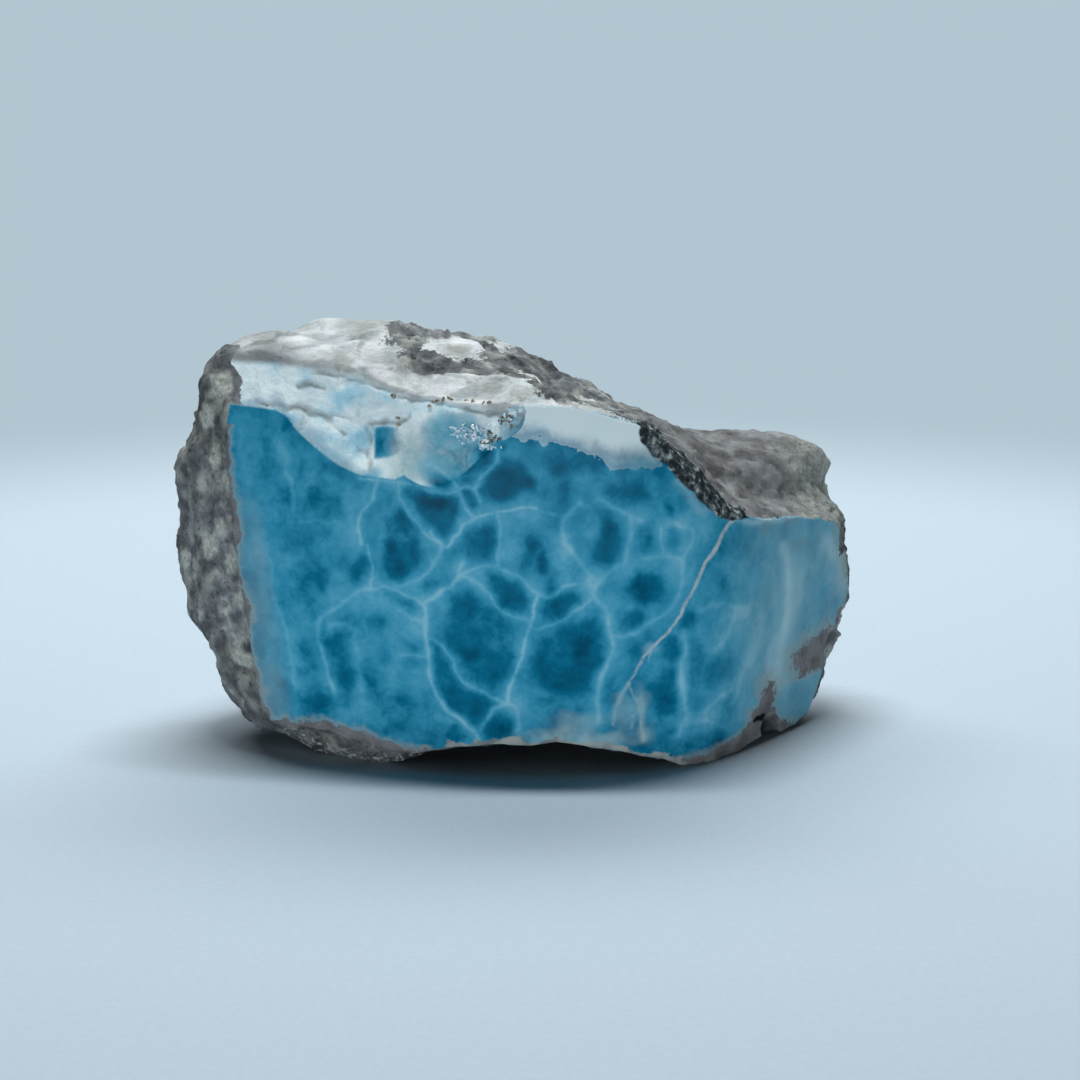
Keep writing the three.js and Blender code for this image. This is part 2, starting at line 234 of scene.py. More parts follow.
# Where the broken rock stands prouder or lower than the solid: a place, how far round it, and which way.
PROUD = [
    ((-2, 0, 70), 13, (0, 0, 1.2)), ((10, 0, 66), 12, (0, 0, 1.5)), ((-43, -10, 68), 9, (-0.3, 0, 1.2)),
    ((-56, -10, 57), 8, (-1.5, 0, 0)), ((-58, -10, 38), 12, (1.3, 0, 0)), ((-30, 0, 72), 12, (0, 0, 0.7)),
]
for middle, radius, push in PROUD:
    away = np.linalg.norm(points - middle, axis=1) / radius
    points = points + np.clip(1 - away, 0, 1)[:, None] * (is_rock[:, None] * np.array(push))

resting = points[:, 2] < 0.05
points = relax(points, is_rock & ~resting, 6, 0.5)
points = relax(points, is_face, 4, 0.5)
points[is_face, 1] = ground_depth(points[is_face, 0], points[is_face, 2])
from_rim = far_from(points, points[is_rim])
inset = points[:, 1] - ground_depth(points[:, 0], points[:, 2])


# ---- The stone: where each mineral lies ----
# The ground face shows larimar: blue pectolite in cells, with pale walls and deep blue hearts. All the places
# below are in millimetres along and up the face. In front of each wall stand its strength and its width.
WALLS = [
    (0.75, 0.35, [(-25.5, 49.5), (-23.5, 49.3), (-20.8, 49.1), (-18.2, 49), (-15.9, 48.6), (-14.2, 47.9),
        (-12.3, 47.6), (-10.3, 47.8), (-9, 48.4), (-7.7, 48.6), (-6.6, 48.6), (-5.8, 49.4)]),
    (0.8, 0.45, [(-14, 41.2), (-12.4, 38.6), (-11.2, 38.9), (-9.9, 40.8), (-8.6, 42.2), (-7.4, 43),
        (-6.3, 43.7), (-4.7, 44.4), (-3, 44.7), (-0.9, 44.9), (0.7, 45.4), (2.3, 45.9), (3.4, 45.6)]),
    (0.6, 0.8, [(-12.4, 38.6), (-12.7, 37.2), (-13.5, 35.7), (-14.5, 34.3)]),
    (0.7, 0.45, [(-12.9, 51.8), (-11.3, 50.9), (-10.2, 49.8), (-9.2, 48.5), (-8.7, 46.6), (-8.1, 45),
        (-7.1, 44), (-6.3, 43.7)]),
    (0.65, 0.45, [(-2.7, 54.8), (-3, 53.5), (-3.8, 52.2), (-5, 51.2), (-6.1, 49.9), (-6.6, 48.6),
        (-6, 47.3), (-5.5, 46.2)]),
    (0.5, 0.5, [(-2.9, 44.7), (-2.7, 42.6), (-2.9, 40.1), (-2.9, 37.7), (-3.1, 35.8)]),
    (0.6, 0.6, [(-9.9, 33.3), (-8.8, 34.7), (-6.7, 35.4), (-4.2, 35.8), (-2.6, 35.5), (-0.6, 34.7),
        (1.3, 33.2), (2.4, 31.9), (3.4, 31.2)]),
    (0.8, 0.6, [(-14.9, 29.2), (-13.6, 30.2), (-12.1, 31.2), (-10.9, 32.4), (-9.9, 33.7), (-9.4, 35),
        (-8.9, 36.4)]),
    (0.6, 0.5, [(-8.8, 34), (-7.5, 33.4), (-6.2, 32.4), (-4.9, 31.1), (-3.3, 29.5), (-1.8, 28),
        (-0.2, 27.3), (2, 26.8)]),
    (0.95, 0.5, [(3.4, 31.2), (2.9, 29.7), (2.6, 28), (2.3, 26), (1.8, 24.3), (1.5, 22), (0.8, 20.3),
        (0.1, 19.1), (-0.5, 17.4), (-1, 15.6), (-1.4, 13.8), (-1.5, 12.4)]),
    (0.5, 0.5, [(3.4, 31.2), (4.7, 30.9), (5.9, 31.2), (6.8, 31.9), (8, 32.7), (9.6, 33)]),
    (0.6, 0.45, [(2.3, 25.3), (3.9, 25.5), (5.9, 26), (7.5, 27), (9.1, 28), (10.8, 29), (12.4, 29.8)]),
    (0.6, 0.5, [(-14.5, 23), (-13.2, 23.5), (-12.2, 22.2), (-11.4, 20.5), (-10.1, 18.3), (-8.9, 16.3),
        (-7.6, 14.9), (-6, 14.3), (-4, 13.4), (-2.2, 12.6)]),
    (0.9, 0.7, [(-14.9, 29.2), (-14.6, 26.4), (-14.5, 23), (-14.4, 20.4), (-14.4, 17.8), (-14.1, 15.2),
        (-13.3, 12.9), (-12, 11.2), (-10.2, 10.1), (-8.5, 8.9), (-6.9, 7.5), (-6, 5.4)]),
    (0.7, 0.5, [(-6, 7.5), (-5.2, 9.3), (-4, 11.2), (-2.7, 12.1), (-1.4, 12.3)]),
    (0.5, 0.6, [(-1.4, 12.3), (-0.2, 11.6), (0.4, 10.2), (0.8, 8)]),
    (0.55, 0.9, [(10.4, 46.2), (9.1, 44.6), (7.8, 43.1), (7.6, 41.5), (8.3, 39.3), (9.6, 37.7), (10.9, 36),
        (12, 34.3), (12.4, 32.1), (12.9, 30.5), (14.2, 29.2), (15, 27.5)]),
    (0.7, 0.8, [(15, 27.5), (15, 25.3), (15.5, 23.8), (15.7, 21.5), (15.1, 19.8), (14.4, 17.8), (14, 15.5),
        (13.5, 12.9), (13.3, 9.4)]),
    (0.4, 0.4, [(3.4, 45.6), (4.7, 44.9), (6.7, 44.4)]),
    (0.5, 0.9, [(12.4, 31.8), (13.7, 33.1), (14.8, 34.6), (16.3, 35.6), (17.7, 36.2)]),
    (0.5, 0.9, [(18.8, 43.9), (18.4, 41.6), (18, 39.2), (17.7, 36.3)]),
    (0.6, 0.7, [(15.5, 23.8), (17.3, 23.7), (19.5, 24.1), (21.1, 25.3), (22.8, 26.5), (24.6, 27.8),
        (26.1, 29.2), (26.9, 31.2), (27.3, 33.7), (27.3, 36.2)]),
    (0.4, 0.5, [(13.3, 46.7), (15.6, 45.3), (17.2, 44.6), (18.8, 43.9), (20.5, 43.2)]),
    (0.6, 0.5, [(-22.5, 48.8), (-23.8, 46), (-25.2, 43.9), (-25.9, 40.9), (-25.6, 38.4)]),
    (0.75, 0.45, [(-19.2, 49.1), (-18.5, 46.2), (-16.9, 43.8), (-15.6, 42.2), (-14.3, 40.6),
        (-12.4, 38.6)]),
    (0.6, 0.35, [(-24.6, 38), (-24, 36), (-23.8, 33.5), (-24, 31.3)]),
    (0.6, 0.7, [(-24, 31.3), (-25.4, 30.5), (-27.1, 29), (-29.2, 27.8), (-31.7, 26.6), (-33.3, 24.7),
        (-33.1, 21.6), (-32.3, 19), (-31.5, 16.5), (-30.7, 13)]),
    (0.6, 0.45, [(-24, 31.1), (-21.5, 31.8), (-19, 31.2), (-17, 30.3), (-14.9, 29.2)]),
    (0.5, 0.5, [(-14.5, 34.3), (-16.5, 33), (-18.2, 32.3), (-19.7, 31.9)]),
    (0.35, 0.5, [(-35.7, 41.8), (-33.2, 41.7), (-30.6, 41.4), (-29.2, 42)]),
    (0.4, 0.9, [(-30.9, 24.4), (-28.4, 25.1), (-27, 23.5), (-26.6, 20.4), (-26.3, 17), (-26.1, 13.4)]),
    (0.5, 0.6, [(-14.5, 19.8), (-16.7, 20.3), (-18.9, 19.9)]),
    (0.4, 0.7, [(-19.4, 27.8), (-17.1, 26.6), (-14.9, 26)]),
    (0.7, 0.9, [(27.5, 24), (27.8, 21.7), (27.7, 20), (27.2, 18.3), (27.3, 15.7), (27.7, 13), (28.2, 10.2),
        (27.9, 8.1), (27.3, 5.8)]),
    (0.5, 0.5, [(21, 36.6), (22.7, 36.8), (24.3, 36.9), (26.5, 36.6), (27.5, 36.2)]),
    (0.5, 0.5, [(27.3, 36.2), (28.5, 37.8), (28.8, 39.4), (28.4, 41.1), (27.1, 41.9), (26.1, 42.6)]),
    (0.5, 0.4, [(23.4, 41.8), (23.9, 38.9), (24.3, 36.9)]),
    (0.5, 0.8, [(30.3, 27.4), (32, 28), (34.7, 27.8), (36.5, 27), (38.4, 25.6)]),
    (0.45, 0.8, [(36.5, 27), (36.2, 24.8), (35.3, 22.6), (33.9, 20.7), (32.5, 19.8)]),
    (0.5, 0.9, [(41.8, 23.7), (41.7, 21.1), (40.8, 18.7), (39.6, 16.4), (38.1, 14.2), (37.1, 11.8),
        (36.2, 9.7)]),
    (0.55, 0.45, [(35.9, 12.2), (34.1, 11.4), (32.7, 10.3), (31.2, 9.4)]),
    (0.4, 0.6, [(28.3, 8.1), (30.7, 7.7), (32.5, 7.3), (34.6, 5.8)]),
    (0.4, 0.8, [(-14.7, 49), (-13.4, 48.2), (-11.8, 47.8)]),
    (0.4, 0.5, [(-38.2, 50), (-37, 48.1), (-36.3, 46), (-36.7, 43.4)]),
    (0.35, 0.7, [(-41.4, 34.6), (-40.9, 29.5), (-39.2, 25.3), (-37.9, 21.1), (-37.7, 16.7), (-36.8, 12.3)]),
]
# Each cell: how deep its blue is, how wide its edge fades, and its outline.
CELLS = [
    (0.95, 1.8, [(-13.9, 47.7), (-12.8, 47.5), (-11.1, 47.5), (-9.5, 47.9), (-9, 46.1), (-8.9, 44.3),
        (-9.7, 42), (-11.2, 39.9), (-12.3, 39.4), (-13.5, 41.5), (-14.8, 43.3), (-15.9, 45), (-18, 46.9),
        (-18.5, 48.2), (-16.9, 48.4), (-15.6, 48)]),
    (0.8, 0.8, [(-8.9, 48), (-7.4, 48.2), (-6.6, 47.4), (-6.1, 45.8), (-7.1, 45), (-8.1, 46.3)]),
    (0.85, 1.6, [(-5.8, 47.5), (-6.1, 48.9), (-5, 50.2), (-3.7, 51.5), (-2.7, 53.2), (-2.1, 53.7),
        (0.7, 53.2), (2, 51.6), (3.3, 50), (2.8, 48.7), (1.5, 48.4), (0.2, 47.2), (-2.6, 46.2),
        (-4.7, 46.7)]),
    (0.6, 0.8, [(-8.7, 49.2), (-8.5, 51.5), (-7.4, 52.3), (-5.8, 52.2), (-5.1, 51.5), (-6.4, 50.2),
        (-7.4, 49.2)]),
    (0.7, 0.7, [(-6.1, 54.7), (-4.1, 55.1), (-3.2, 54.5), (-4.2, 52.8), (-5.4, 52.5)]),
    (0.6, 2.2, [(-8.6, 41.7), (-6.6, 43), (-3.7, 43.4), (-3.2, 41.8), (-3.2, 38.5), (-3.9, 36.8),
        (-6.2, 36.3), (-8.6, 37), (-10.4, 36.6), (-11.4, 37.8), (-10.2, 39.8)]),
    (0.35, 2.6, [(1.5, 43.5), (3.4, 41.8), (4.7, 39.4), (5.9, 35.2), (4.7, 33.9), (2.3, 34.9), (0.7, 36.9),
        (1, 40.2)]),
    (0.5, 2.2, [(12.3, 45.4), (13.6, 46.2), (15.2, 44.7), (16.6, 43), (17.2, 40), (17.2, 37), (15.3, 35.4),
        (12.8, 36), (12, 37.6), (13.3, 40.1), (13.6, 42.6)]),
    (0.5, 0.7, [(4.4, 32.2), (4.6, 33.6), (5.9, 33.7), (6.5, 32.2), (5.4, 31.4)]),
    (0.75, 1.6, [(-5.4, 34.3), (-3.9, 34.8), (-2.1, 34.2), (-0.2, 33.2), (1.6, 31.9), (2.3, 30.2),
        (2, 28.2), (0.6, 27.8), (-1.3, 28.5), (-3.1, 30), (-4.6, 31.8)]),
    (0.75, 1.2, [(4.1, 30.2), (5.9, 30.5), (7.2, 31.5), (8.8, 32), (10.4, 31.3), (10.4, 29.5), (8.5, 28.5),
        (6.5, 27.3), (4.4, 27), (3.6, 28.2)]),
    (0.5, 2.8, [(-11.3, 29.9), (-10, 32), (-8.6, 33), (-7, 32.1), (-5.2, 30.1), (-3.4, 28.4), (-1.3, 27.1),
        (1.3, 26.1), (0.8, 23.4), (0, 20.8), (-1.3, 18.6), (-2.7, 16.1), (-4.3, 14.7), (-6.3, 15),
        (-8.3, 16.3), (-9.9, 19.4), (-11.2, 21.7), (-11.8, 24.8)]),
    (0.7, 1.2, [(-13.8, 22.6), (-12.8, 22.7), (-12.2, 20.5), (-10.9, 17.9), (-9.3, 15.6), (-7.3, 14.1),
        (-5, 13.2), (-3.5, 12.4), (-5.3, 10.4), (-6.7, 8.9), (-8.5, 9.9), (-10.2, 10.6), (-12.1, 12.3),
        (-13.3, 14.3), (-13.7, 17.8)]),
    (0.8, 1.4, [(-5.5, 7.2), (-4.9, 8.6), (-3.7, 10.6), (-2.2, 11.4), (-0.7, 10.5), (0.1, 8.7), (-0.4, 6.8),
        (-2.7, 6), (-4.7, 6.1)]),
    (0.6, 1.2, [(-12, 6), (-11, 7.7), (-9.7, 8.8), (-8.5, 7.8), (-7.7, 6), (-9, 5.3), (-11.1, 5.2)]),
    (0.5, 2.8, [(3.6, 23.4), (4.7, 24.8), (6.9, 25.5), (8.8, 26.5), (11.3, 27.1), (13.7, 27.2), (14.4, 25),
        (14.9, 22.4), (14.1, 19.9), (13.3, 17.3), (12.5, 14.7), (10.5, 13.3), (7.2, 13.5), (4.7, 14.8),
        (2.3, 16.2), (1.3, 18.2), (1.9, 20.8)]),
    (0.4, 2.8, [(17.8, 33.3), (19.4, 35), (21.8, 35.7), (24.3, 34.4), (25.2, 31.3), (23.9, 29.2),
        (21.1, 28.5), (18.6, 29.4), (17.3, 31.3)]),
    (0.7, 1.4, [(17, 26.6), (18, 27.8), (19.4, 28.2), (20.8, 27.7), (21.3, 26.1), (20.3, 24.8), (18, 24.5),
        (16.7, 25.3)]),
    (0.45, 1.8, [(14.1, 49.1), (16, 49.9), (18.5, 49.5), (20.9, 48.4), (21.7, 46.4), (18.8, 45.6),
        (17.2, 44.9), (15.6, 45.8), (13.6, 47.5)]),
    (0.55, 1.4, [(19.2, 40.8), (20.1, 42.4), (21.8, 42.8), (22.9, 40.6), (23, 38.1), (21.8, 37),
        (20.2, 37.4), (19.2, 38.6)]),
    (0.7, 0.8, [(24.6, 41.4), (25.4, 42.1), (26.7, 40.9), (26.8, 38.7), (26.1, 37.6), (24.8, 38.4)]),
    (0.6, 0.8, [(24.1, 45.8), (25, 46.3), (25.9, 44.9), (25.4, 43.5), (24.4, 43.9)]),
    (0.65, 1.6, [(26.6, 26.1), (27.7, 27.7), (29.4, 27.9), (30.7, 27), (30.7, 24.8), (29.5, 23.7),
        (27.6, 23.4), (26.5, 24.4)]),
    (0.5, 1.2, [(24, 22.5), (25.3, 23.5), (26.8, 22.7), (27, 20), (25.4, 19), (23.7, 20.3)]),
    (0.6, 1.6, [(24.5, 18.5), (26.2, 17.5), (26.8, 13.9), (26.5, 9.5), (24.5, 8.5), (23, 9.8), (22.9, 14.2),
        (23.7, 17.4)]),
    (0.35, 1.4, [(28.7, 22.5), (30.4, 21.4), (31.5, 19.4), (30.9, 15.2), (29.2, 11.9), (28.5, 15.5),
        (28.4, 19.9)]),
    (0.4, 2, [(31.5, 17.2), (33.1, 19.1), (35.8, 18.5), (36.7, 16.4), (35.5, 14.1), (33.2, 13.3),
        (31.6, 15)]),
    (0.4, 1.4, [(34.2, 10.5), (35.6, 12.3), (37, 12.4), (37.5, 9.9), (36, 8.2), (34.6, 8.6)]),
    (0.45, 1.6, [(30.7, 5.9), (34.3, 5.4), (37.1, 4), (36.2, 2), (33.5, 1.6), (29.9, 2.4), (28.2, 3.4),
        (29, 5.1)]),
    (0.3, 3, [(36.2, 40.7), (40.9, 39.8), (42.9, 35.6), (42, 33.3), (37.3, 33.7), (35, 36.8)]),
    (0.3, 2, [(46.3, 8.1), (47.7, 9), (50.8, 8.4), (52.4, 6), (51, 2.7), (47.9, 2.1), (46.2, 4.3)]),
    (0.75, 1.6, [(-20.9, 42.8), (-19.4, 44.9), (-18, 44.9), (-16.6, 43), (-15.1, 40.6), (-14.8, 38.1),
        (-15.3, 36.1), (-16.5, 34.4), (-18.7, 32.6), (-21, 33.1), (-22.3, 34.4), (-21.8, 36.8),
        (-21.7, 39.8)]),
    (0.35, 1.2, [(-22.6, 47.7), (-21.5, 48.7), (-19.8, 48.5), (-19.4, 46.2), (-20.2, 44.8), (-21.9, 44.1),
        (-22.8, 45.4)]),
    (0.5, 1.2, [(-27.2, 32.1), (-26.7, 34.5), (-25.8, 36.5), (-24.9, 37.1), (-24.5, 36), (-24.5, 33.4),
        (-25.2, 31.4), (-26.7, 30.9)]),
    (0.5, 0.9, [(-16, 31.9), (-15.2, 33.1), (-13.9, 33.5), (-12.4, 32.9), (-12.7, 31.4), (-14.4, 30.8),
        (-15.7, 31.1)]),
    (0.45, 0.9, [(-21.5, 30.8), (-19.5, 30.9), (-17.4, 30.1), (-15.6, 29), (-16.1, 27.8), (-17.7, 28.3),
        (-19.7, 29.5)]),
    (0.45, 1.4, [(-33.5, 53.3), (-31.8, 52.9), (-29.6, 51.9), (-27.1, 50.7), (-24.5, 49.5), (-23.5, 48),
        (-26.1, 48), (-29.1, 48.9), (-31.8, 50.4), (-33.2, 51.7)]),
    (0.3, 1.6, [(-33.1, 21.6), (-31.7, 22.8), (-28.9, 23), (-28.5, 20.3), (-27.4, 17.2), (-26.8, 13.4),
        (-28.2, 11.1), (-29.5, 12.1), (-30.5, 15.7), (-32.1, 19.1)]),
]
# Each heart: along, up, half its width, half its height, strength.
HEARTS = [
    (-35.6, 48.8, 1.1, 1.3, 0.5), (-33.3, 45.7, 1.5, 2, 0.75), (-38.1, 36.9, 1.4, 1.8, 0.35),
    (-33.6, 38.2, 1, 1.1, 0.25), (-32, 32.4, 1.6, 2.3, 0.55), (-34.3, 28.1, 1.3, 1.1, 0.2),
    (-39.3, 27.9, 1.6, 1.5, 0.2), (-22.5, 25.1, 2.1, 2.8, 0.8), (-30.2, 21, 2, 2.3, 0.5),
    (-35.2, 20.5, 1.5, 2.1, 0.25), (-28.6, 15, 1.5, 2.6, 0.6), (-21.9, 19.9, 1.5, 2, 0.35),
    (-17, 21.4, 1.5, 0.8, 0.35), (-36.4, 15.6, 1.3, 1, 0.3), (-33.9, 16.8, 1.1, 1, 0.25),
    (-39.4, 12.9, 1.8, 2.5, 0.25), (-32.7, 10.5, 2.5, 2, 0.6), (-28.6, 10.2, 1.1, 1.5, 0.3),
    (-20.2, 12.1, 2.1, 1.6, 0.45), (-18.9, 6.9, 2.6, 2, 0.5), (-41, 7.8, 1.1, 1.5, 0.4),
    (-24.7, 14.8, 1.1, 1.1, 0.25), (-41.7, 24.2, 1.3, 1.5, 0.25), (-43.3, 54.5, 2.2, 3, 0.2),
    (-40.4, 52.3, 2.2, 2, 0.25), (-26.2, 33.5, 1.1, 2, 0.4), (-20.8, 46.6, 1.3, 1.8, 0.3),
    (-18.4, 42.9, 1.5, 2, 0.5), (-20.4, 38.4, 1.1, 2.1, 0.45), (-16.8, 38.1, 1.3, 2.1, 0.5),
    (-19, 34.6, 1.6, 1.8, 0.55), (-12.3, 46.1, 3.3, 1.6, 0.7), (-14.1, 32, 1.3, 1, 0.2),
    (-1.7, 50.8, 2.6, 2, 0.35), (2.3, 50, 1.3, 1.3, 0.25), (-5.5, 40.1, 1.8, 2.5, 0.3),
    (2.9, 39.4, 1.3, 2, 0.75), (4.4, 36.6, 1.1, 2.3, 0.8), (2.3, 37.2, 1.8, 1.6, 0.3),
    (14.9, 42, 1.1, 2.6, 0.6), (13.7, 36.8, 1.6, 1.3, 0.3), (-1.3, 30.7, 1.5, 1.5, 0.3),
    (-3.9, 33.5, 1.1, 1, 0.25), (-6.9, 24.6, 1.5, 1, 0.4), (-7.2, 28.4, 1.5, 1.8, 0.3),
    (-4.8, 23.7, 2.3, 2.3, 0.2), (-7.2, 20.7, 1.6, 1.1, 0.3), (-4, 20.8, 1.5, 1.5, 0.25),
    (-9.5, 23.2, 1.3, 1.6, 0.15), (-10.4, 14.1, 1.5, 1.1, 0.3), (-6.8, 12, 2.5, 1, 0.2),
    (-1.9, 8.2, 1.5, 1.3, 0.3), (10.5, 22.5, 2.1, 2.1, 0.6), (8.5, 20.3, 2.6, 3, 0.2),
    (3.9, 19.1, 1.3, 2, 0.3), (13.1, 19, 1.3, 2, 0.25), (7.2, 24.8, 1.5, 1, 0.25), (8, 15.6, 3.6, 1, 0.2),
    (4.7, 12.7, 1.5, 1, 0.6), (21.2, 32.2, 2.5, 2.8, 0.85), (19.6, 26.9, 1.1, 1, 0.3),
    (7.1, 51.6, 1, 1, 0.4), (4.2, 48, 1.3, 1.1, 0.3), (7.9, 48.4, 1.3, 1.8, 0.2),
    (17.2, 47.9, 2.6, 1.3, 0.2), (20.1, 48.1, 1.8, 2.3, 0.35), (21.8, 39.9, 1, 1.8, 0.35),
    (28.6, 25.9, 1.3, 1.3, 0.2), (24.3, 11.5, 1.3, 2.5, 0.3), (34.1, 31.4, 1.6, 1.6, 0.35),
    (34.5, 37.2, 2.3, 2, 0.2), (33.5, 2.9, 2, 1.1, 0.35), (25.6, 6.6, 1.5, 1, 0.3),
    (39.6, 27.5, 2.2, 2, 0.25), (30.2, 33.4, 0.8, 1.8, 0.3), (28.5, 35.1, 1, 1.3, 0.2),
    (35.4, 10.5, 1, 1.6, 0.25), (48.8, 5.6, 1.8, 2, 0.2), (50.1, 25.4, 1.8, 3.9, 0.15),
    (12, 51.6, 2.3, 1.3, 0.15), (-7.5, 30.9, 1.1, 0.8, 0.2), (6, 29.5, 1.5, 1, 0.2),
    (0.7, 30.2, 1, 1.1, 0.2),
]
# Each cloud of pale blue, then of cream: along, up, half its width, half its height, strength. The pale blue
# clouds at the far left of the face are partly a painted sheen.
HAZE_AND_SHEEN = [
    (-42.6, 37, 1.6, 9.8, 0.45), (-26.8, 45.8, 1.5, 9.8, 0.35), (-17, 24.9, 2.6, 2.6, 0.4),
    (-20.1, 16.6, 4.3, 6.6, 0.2), (-38.9, 17.4, 4.3, 6.6, 0.2), (-29, 39, 3.3, 3, 0.15),
    (-12.9, 36.6, 1.5, 2.6, 0.3), (-36, 28.2, 5.6, 5.9, 0.12), (-1.3, 39.3, 1.8, 5.9, 0.4),
    (8, 37.7, 2, 4.3, 0.3), (1.2, 44.3, 4.3, 1, 0.25), (12, 32.6, 2, 2.3, 0.25),
    (-0.7, 14.7, 1.6, 2.3, 0.3), (-12.4, 29.9, 2, 2.6, 0.25), (-11.5, 9.1, 3.3, 1.1, 0.3),
    (-23.3, 27.6, 4.3, 1.6, 0.2), (15.7, 30, 1.3, 2, 0.25), (27.6, 13.8, 1.5, 6.6, 0.3),
    (37.4, 25.5, 3.1, 1.5, 0.35), (41.4, 17.6, 1.8, 6.6, 0.25), (38.8, 9.4, 1.8, 4.9, 0.2),
    (30.7, 8.4, 3.3, 1.6, 0.3), (55.3, 29.2, 3.5, 8.2, 0.45), (47.1, 24.6, 4.4, 9.8, 0.3),
    (20.1, 44, 3.3, 1.5, 0.2), (11.2, 43.4, 1.6, 2.3, 0.2), (30.1, 41.8, 3.9, 4.3, 0.18),
    (5.8, 46.7, 3.6, 1.6, 0.12), (34.8, 21.3, 3.3, 3.9, 0.15), (-34.1, 35.2, 4.3, 1.3, 0.12),
    (16.2, 20.7, 2.3, 2.3, 0.15), (-45.3, 44.4, 1.8, 8.2, 0.2), (-26.2, 9, 4.9, 2.3, 0.25),
    (13.6, 49.9, 6.6, 2.3, 0.1), (-41.7, 15.3, 1.4, 4.9, 0.25), (-43.8, 56.5, 3.5, 3.9, 0.35),
    (-39.5, 53.5, 2.8, 3.5, 0.6), (-7.1, 43.7, 2.6, 2.3, 0.3),
]
CREAM = [
    (7.2, 6.6, 6.9, 1.6, 0.5), (13.9, 5.8, 7.5, 1.5, 0.55), (10.5, 9.1, 5.6, 2, 0.35),
    (18.1, 10.1, 2.1, 3.6, 0.35), (21.4, 6.7, 2, 2, 0.35), (22, 21.3, 1.5, 1.1, 0.35),
    (4.7, 7.3, 2.3, 1.3, 0.3), (20.4, 12.6, 1.5, 3, 0.3),
]
# Pale streaks: strength, half width, and the line that they follow.
STREAKS = [
    (0.55, 0.8, [(45.8, 34.8), (46.5, 31.1), (46.9, 26.5), (46.4, 22.2), (45.7, 17.9), (45.1, 13.5),
        (44.8, 9.8)]),
    (0.45, 2.4, [(48, 29.4), (47.3, 24.6), (46.1, 17.7), (44.8, 10.9)]),
    (0.55, 0.5, [(36.6, 41.7), (39.4, 40.5), (41.8, 40), (45.7, 39.3), (48.7, 39.6), (51.6, 38.8)]),
    (0.45, 1.5, [(54.7, 33), (57, 28.6), (58.2, 24.3)]),
    (0.35, 0.8, [(44.3, 18.4), (43.4, 15.1), (43.2, 11.9)]),
    (0.4, 0.35, [(18.6, 15.7), (17.4, 13.3), (16.6, 11), (16, 8.2)]),
    (0.4, 0.45, [(20.4, 12.6), (21, 9.1), (21.2, 5.4)]),
    (0.35, 0.9, [(26.3, 49.3), (28, 47.4), (29.5, 45.3), (30.7, 44.2)]),
    (0.3, 0.5, [(2.8, 5.4), (4.7, 6.3), (7.2, 5.7)]),
]
# The pit at the foot of the face, painted near-black as the shade inside it: along, up, half its width, half
# its height.
SHADED_PITS = [(41.8, 5, 1.5, 0.8)]
# Spots of rust, crystals, rock chips and pale rind, in the same form as the hearts.
RUST = [
    (41.9, 38.8, 1.3, 1.3, 0.35), (48.9, 33.9, 2, 1.3, 0.3), (46.7, 38.7, 1.3, 0.7, 0.3),
    (58.7, 27.9, 1.3, 3.6, 0.5),
]
CRYSTAL_SPOTS = [
    (-7.4, 57.1, 2.1, 1.3, 1), (-8.3, 58.4, 1.5, 0.7, 0.9), (-9.6, 57.9, 0.8, 0.7, 0.8),
    (-5.3, 56.2, 1, 1, 1), (-4.5, 54.9, 1.3, 0.5, 0.9), (-3, 55.4, 0.8, 0.5, 0.6),
    (-0.1, 61.2, 1.3, 0.5, 0.9), (-1.7, 59.8, 1.3, 0.5, 0.6), (-4, 58.9, 1, 0.7, 0.4),
]
CHIP_SPOTS = [
    (-4, 55.9, 1.3, 0.7, 1), (-3, 56.9, 0.8, 0.7, 1), (-1.6, 59.8, 1.1, 0.8, 1), (-0.8, 58.8, 0.7, 0.8, 1),
    (-4.5, 57.8, 0.7, 0.8, 0.8), (-13.8, 62.3, 1.4, 0.5, 0.6), (-7.4, 62.6, 1, 0.5, 0.6),
    (-19.4, 59.5, 1, 0.5, 0.54), (-19.6, 63.4, 0.9, 0.5, 0.48), (-10.9, 63, 0.8, 0.3, 0.48),
    (-5.1, 62.1, 0.8, 0.5, 0.54),
]
RIND_PALE = [
    (-49.3, 63.4, 2.8, 2.7, 0.9), (-51.6, 58.3, 1.7, 2.3, 0.9), (-50.5, 51.6, 1.4, 3, 0.8),
    (-48.2, 46.9, 1.3, 2.8, 0.8), (-49.6, 39.3, 1.6, 2.1, 0.7), (-51.7, 35.9, 1.4, 2.3, 0.8),
    (-48.1, 33, 1.5, 2.4, 0.8), (-46, 28.5, 1.5, 2.6, 0.8), (-45.9, 16.6, 2.6, 1.5, 0.9),
    (-44.6, 22.1, 1.3, 2.6, 0.8), (-46.9, 42.5, 0.9, 2.1, 0.6), (-55.2, 52.1, 1.1, 2.3, 0.4),
    (-56, 33.8, 1, 3.1, 0.6), (-53.8, 26.8, 0.9, 2.5, 0.3),
]
# The foot of the rock lip under the face at the left, flecked with white calcite that is painted bright as
# glints.
LIP_FOOT = [
    (-38.5, 3.6), (-35.9, 2.6), (-33, 1.5), (-29.9, 0.6), (-26.4, 0.2), (-22.1, 0.4), (-18.7, 0.9),
    (-15.3, 1.5), (-12.8, 2.5), (-11.1, 3.7),
]
# Outlines of the milky ridge over the face, and of the dark band beside it.
RIDGE = [
    (-3.5, 66), (-2.8, 58.8), (-0.9, 56.4), (2.8, 56.7), (7.1, 55.5), (12, 54.2), (15.5, 52.1),
    (20.1, 51.9), (24.2, 51.2), (24, 56), (21.5, 64),
]
BAND = [
    (20, 56.2), (23.3, 52.6), (28.3, 47.7), (32.7, 43), (36.2, 41.5), (41, 41.3), (39, 48), (32, 55),
    (26, 61), (20, 63),
]
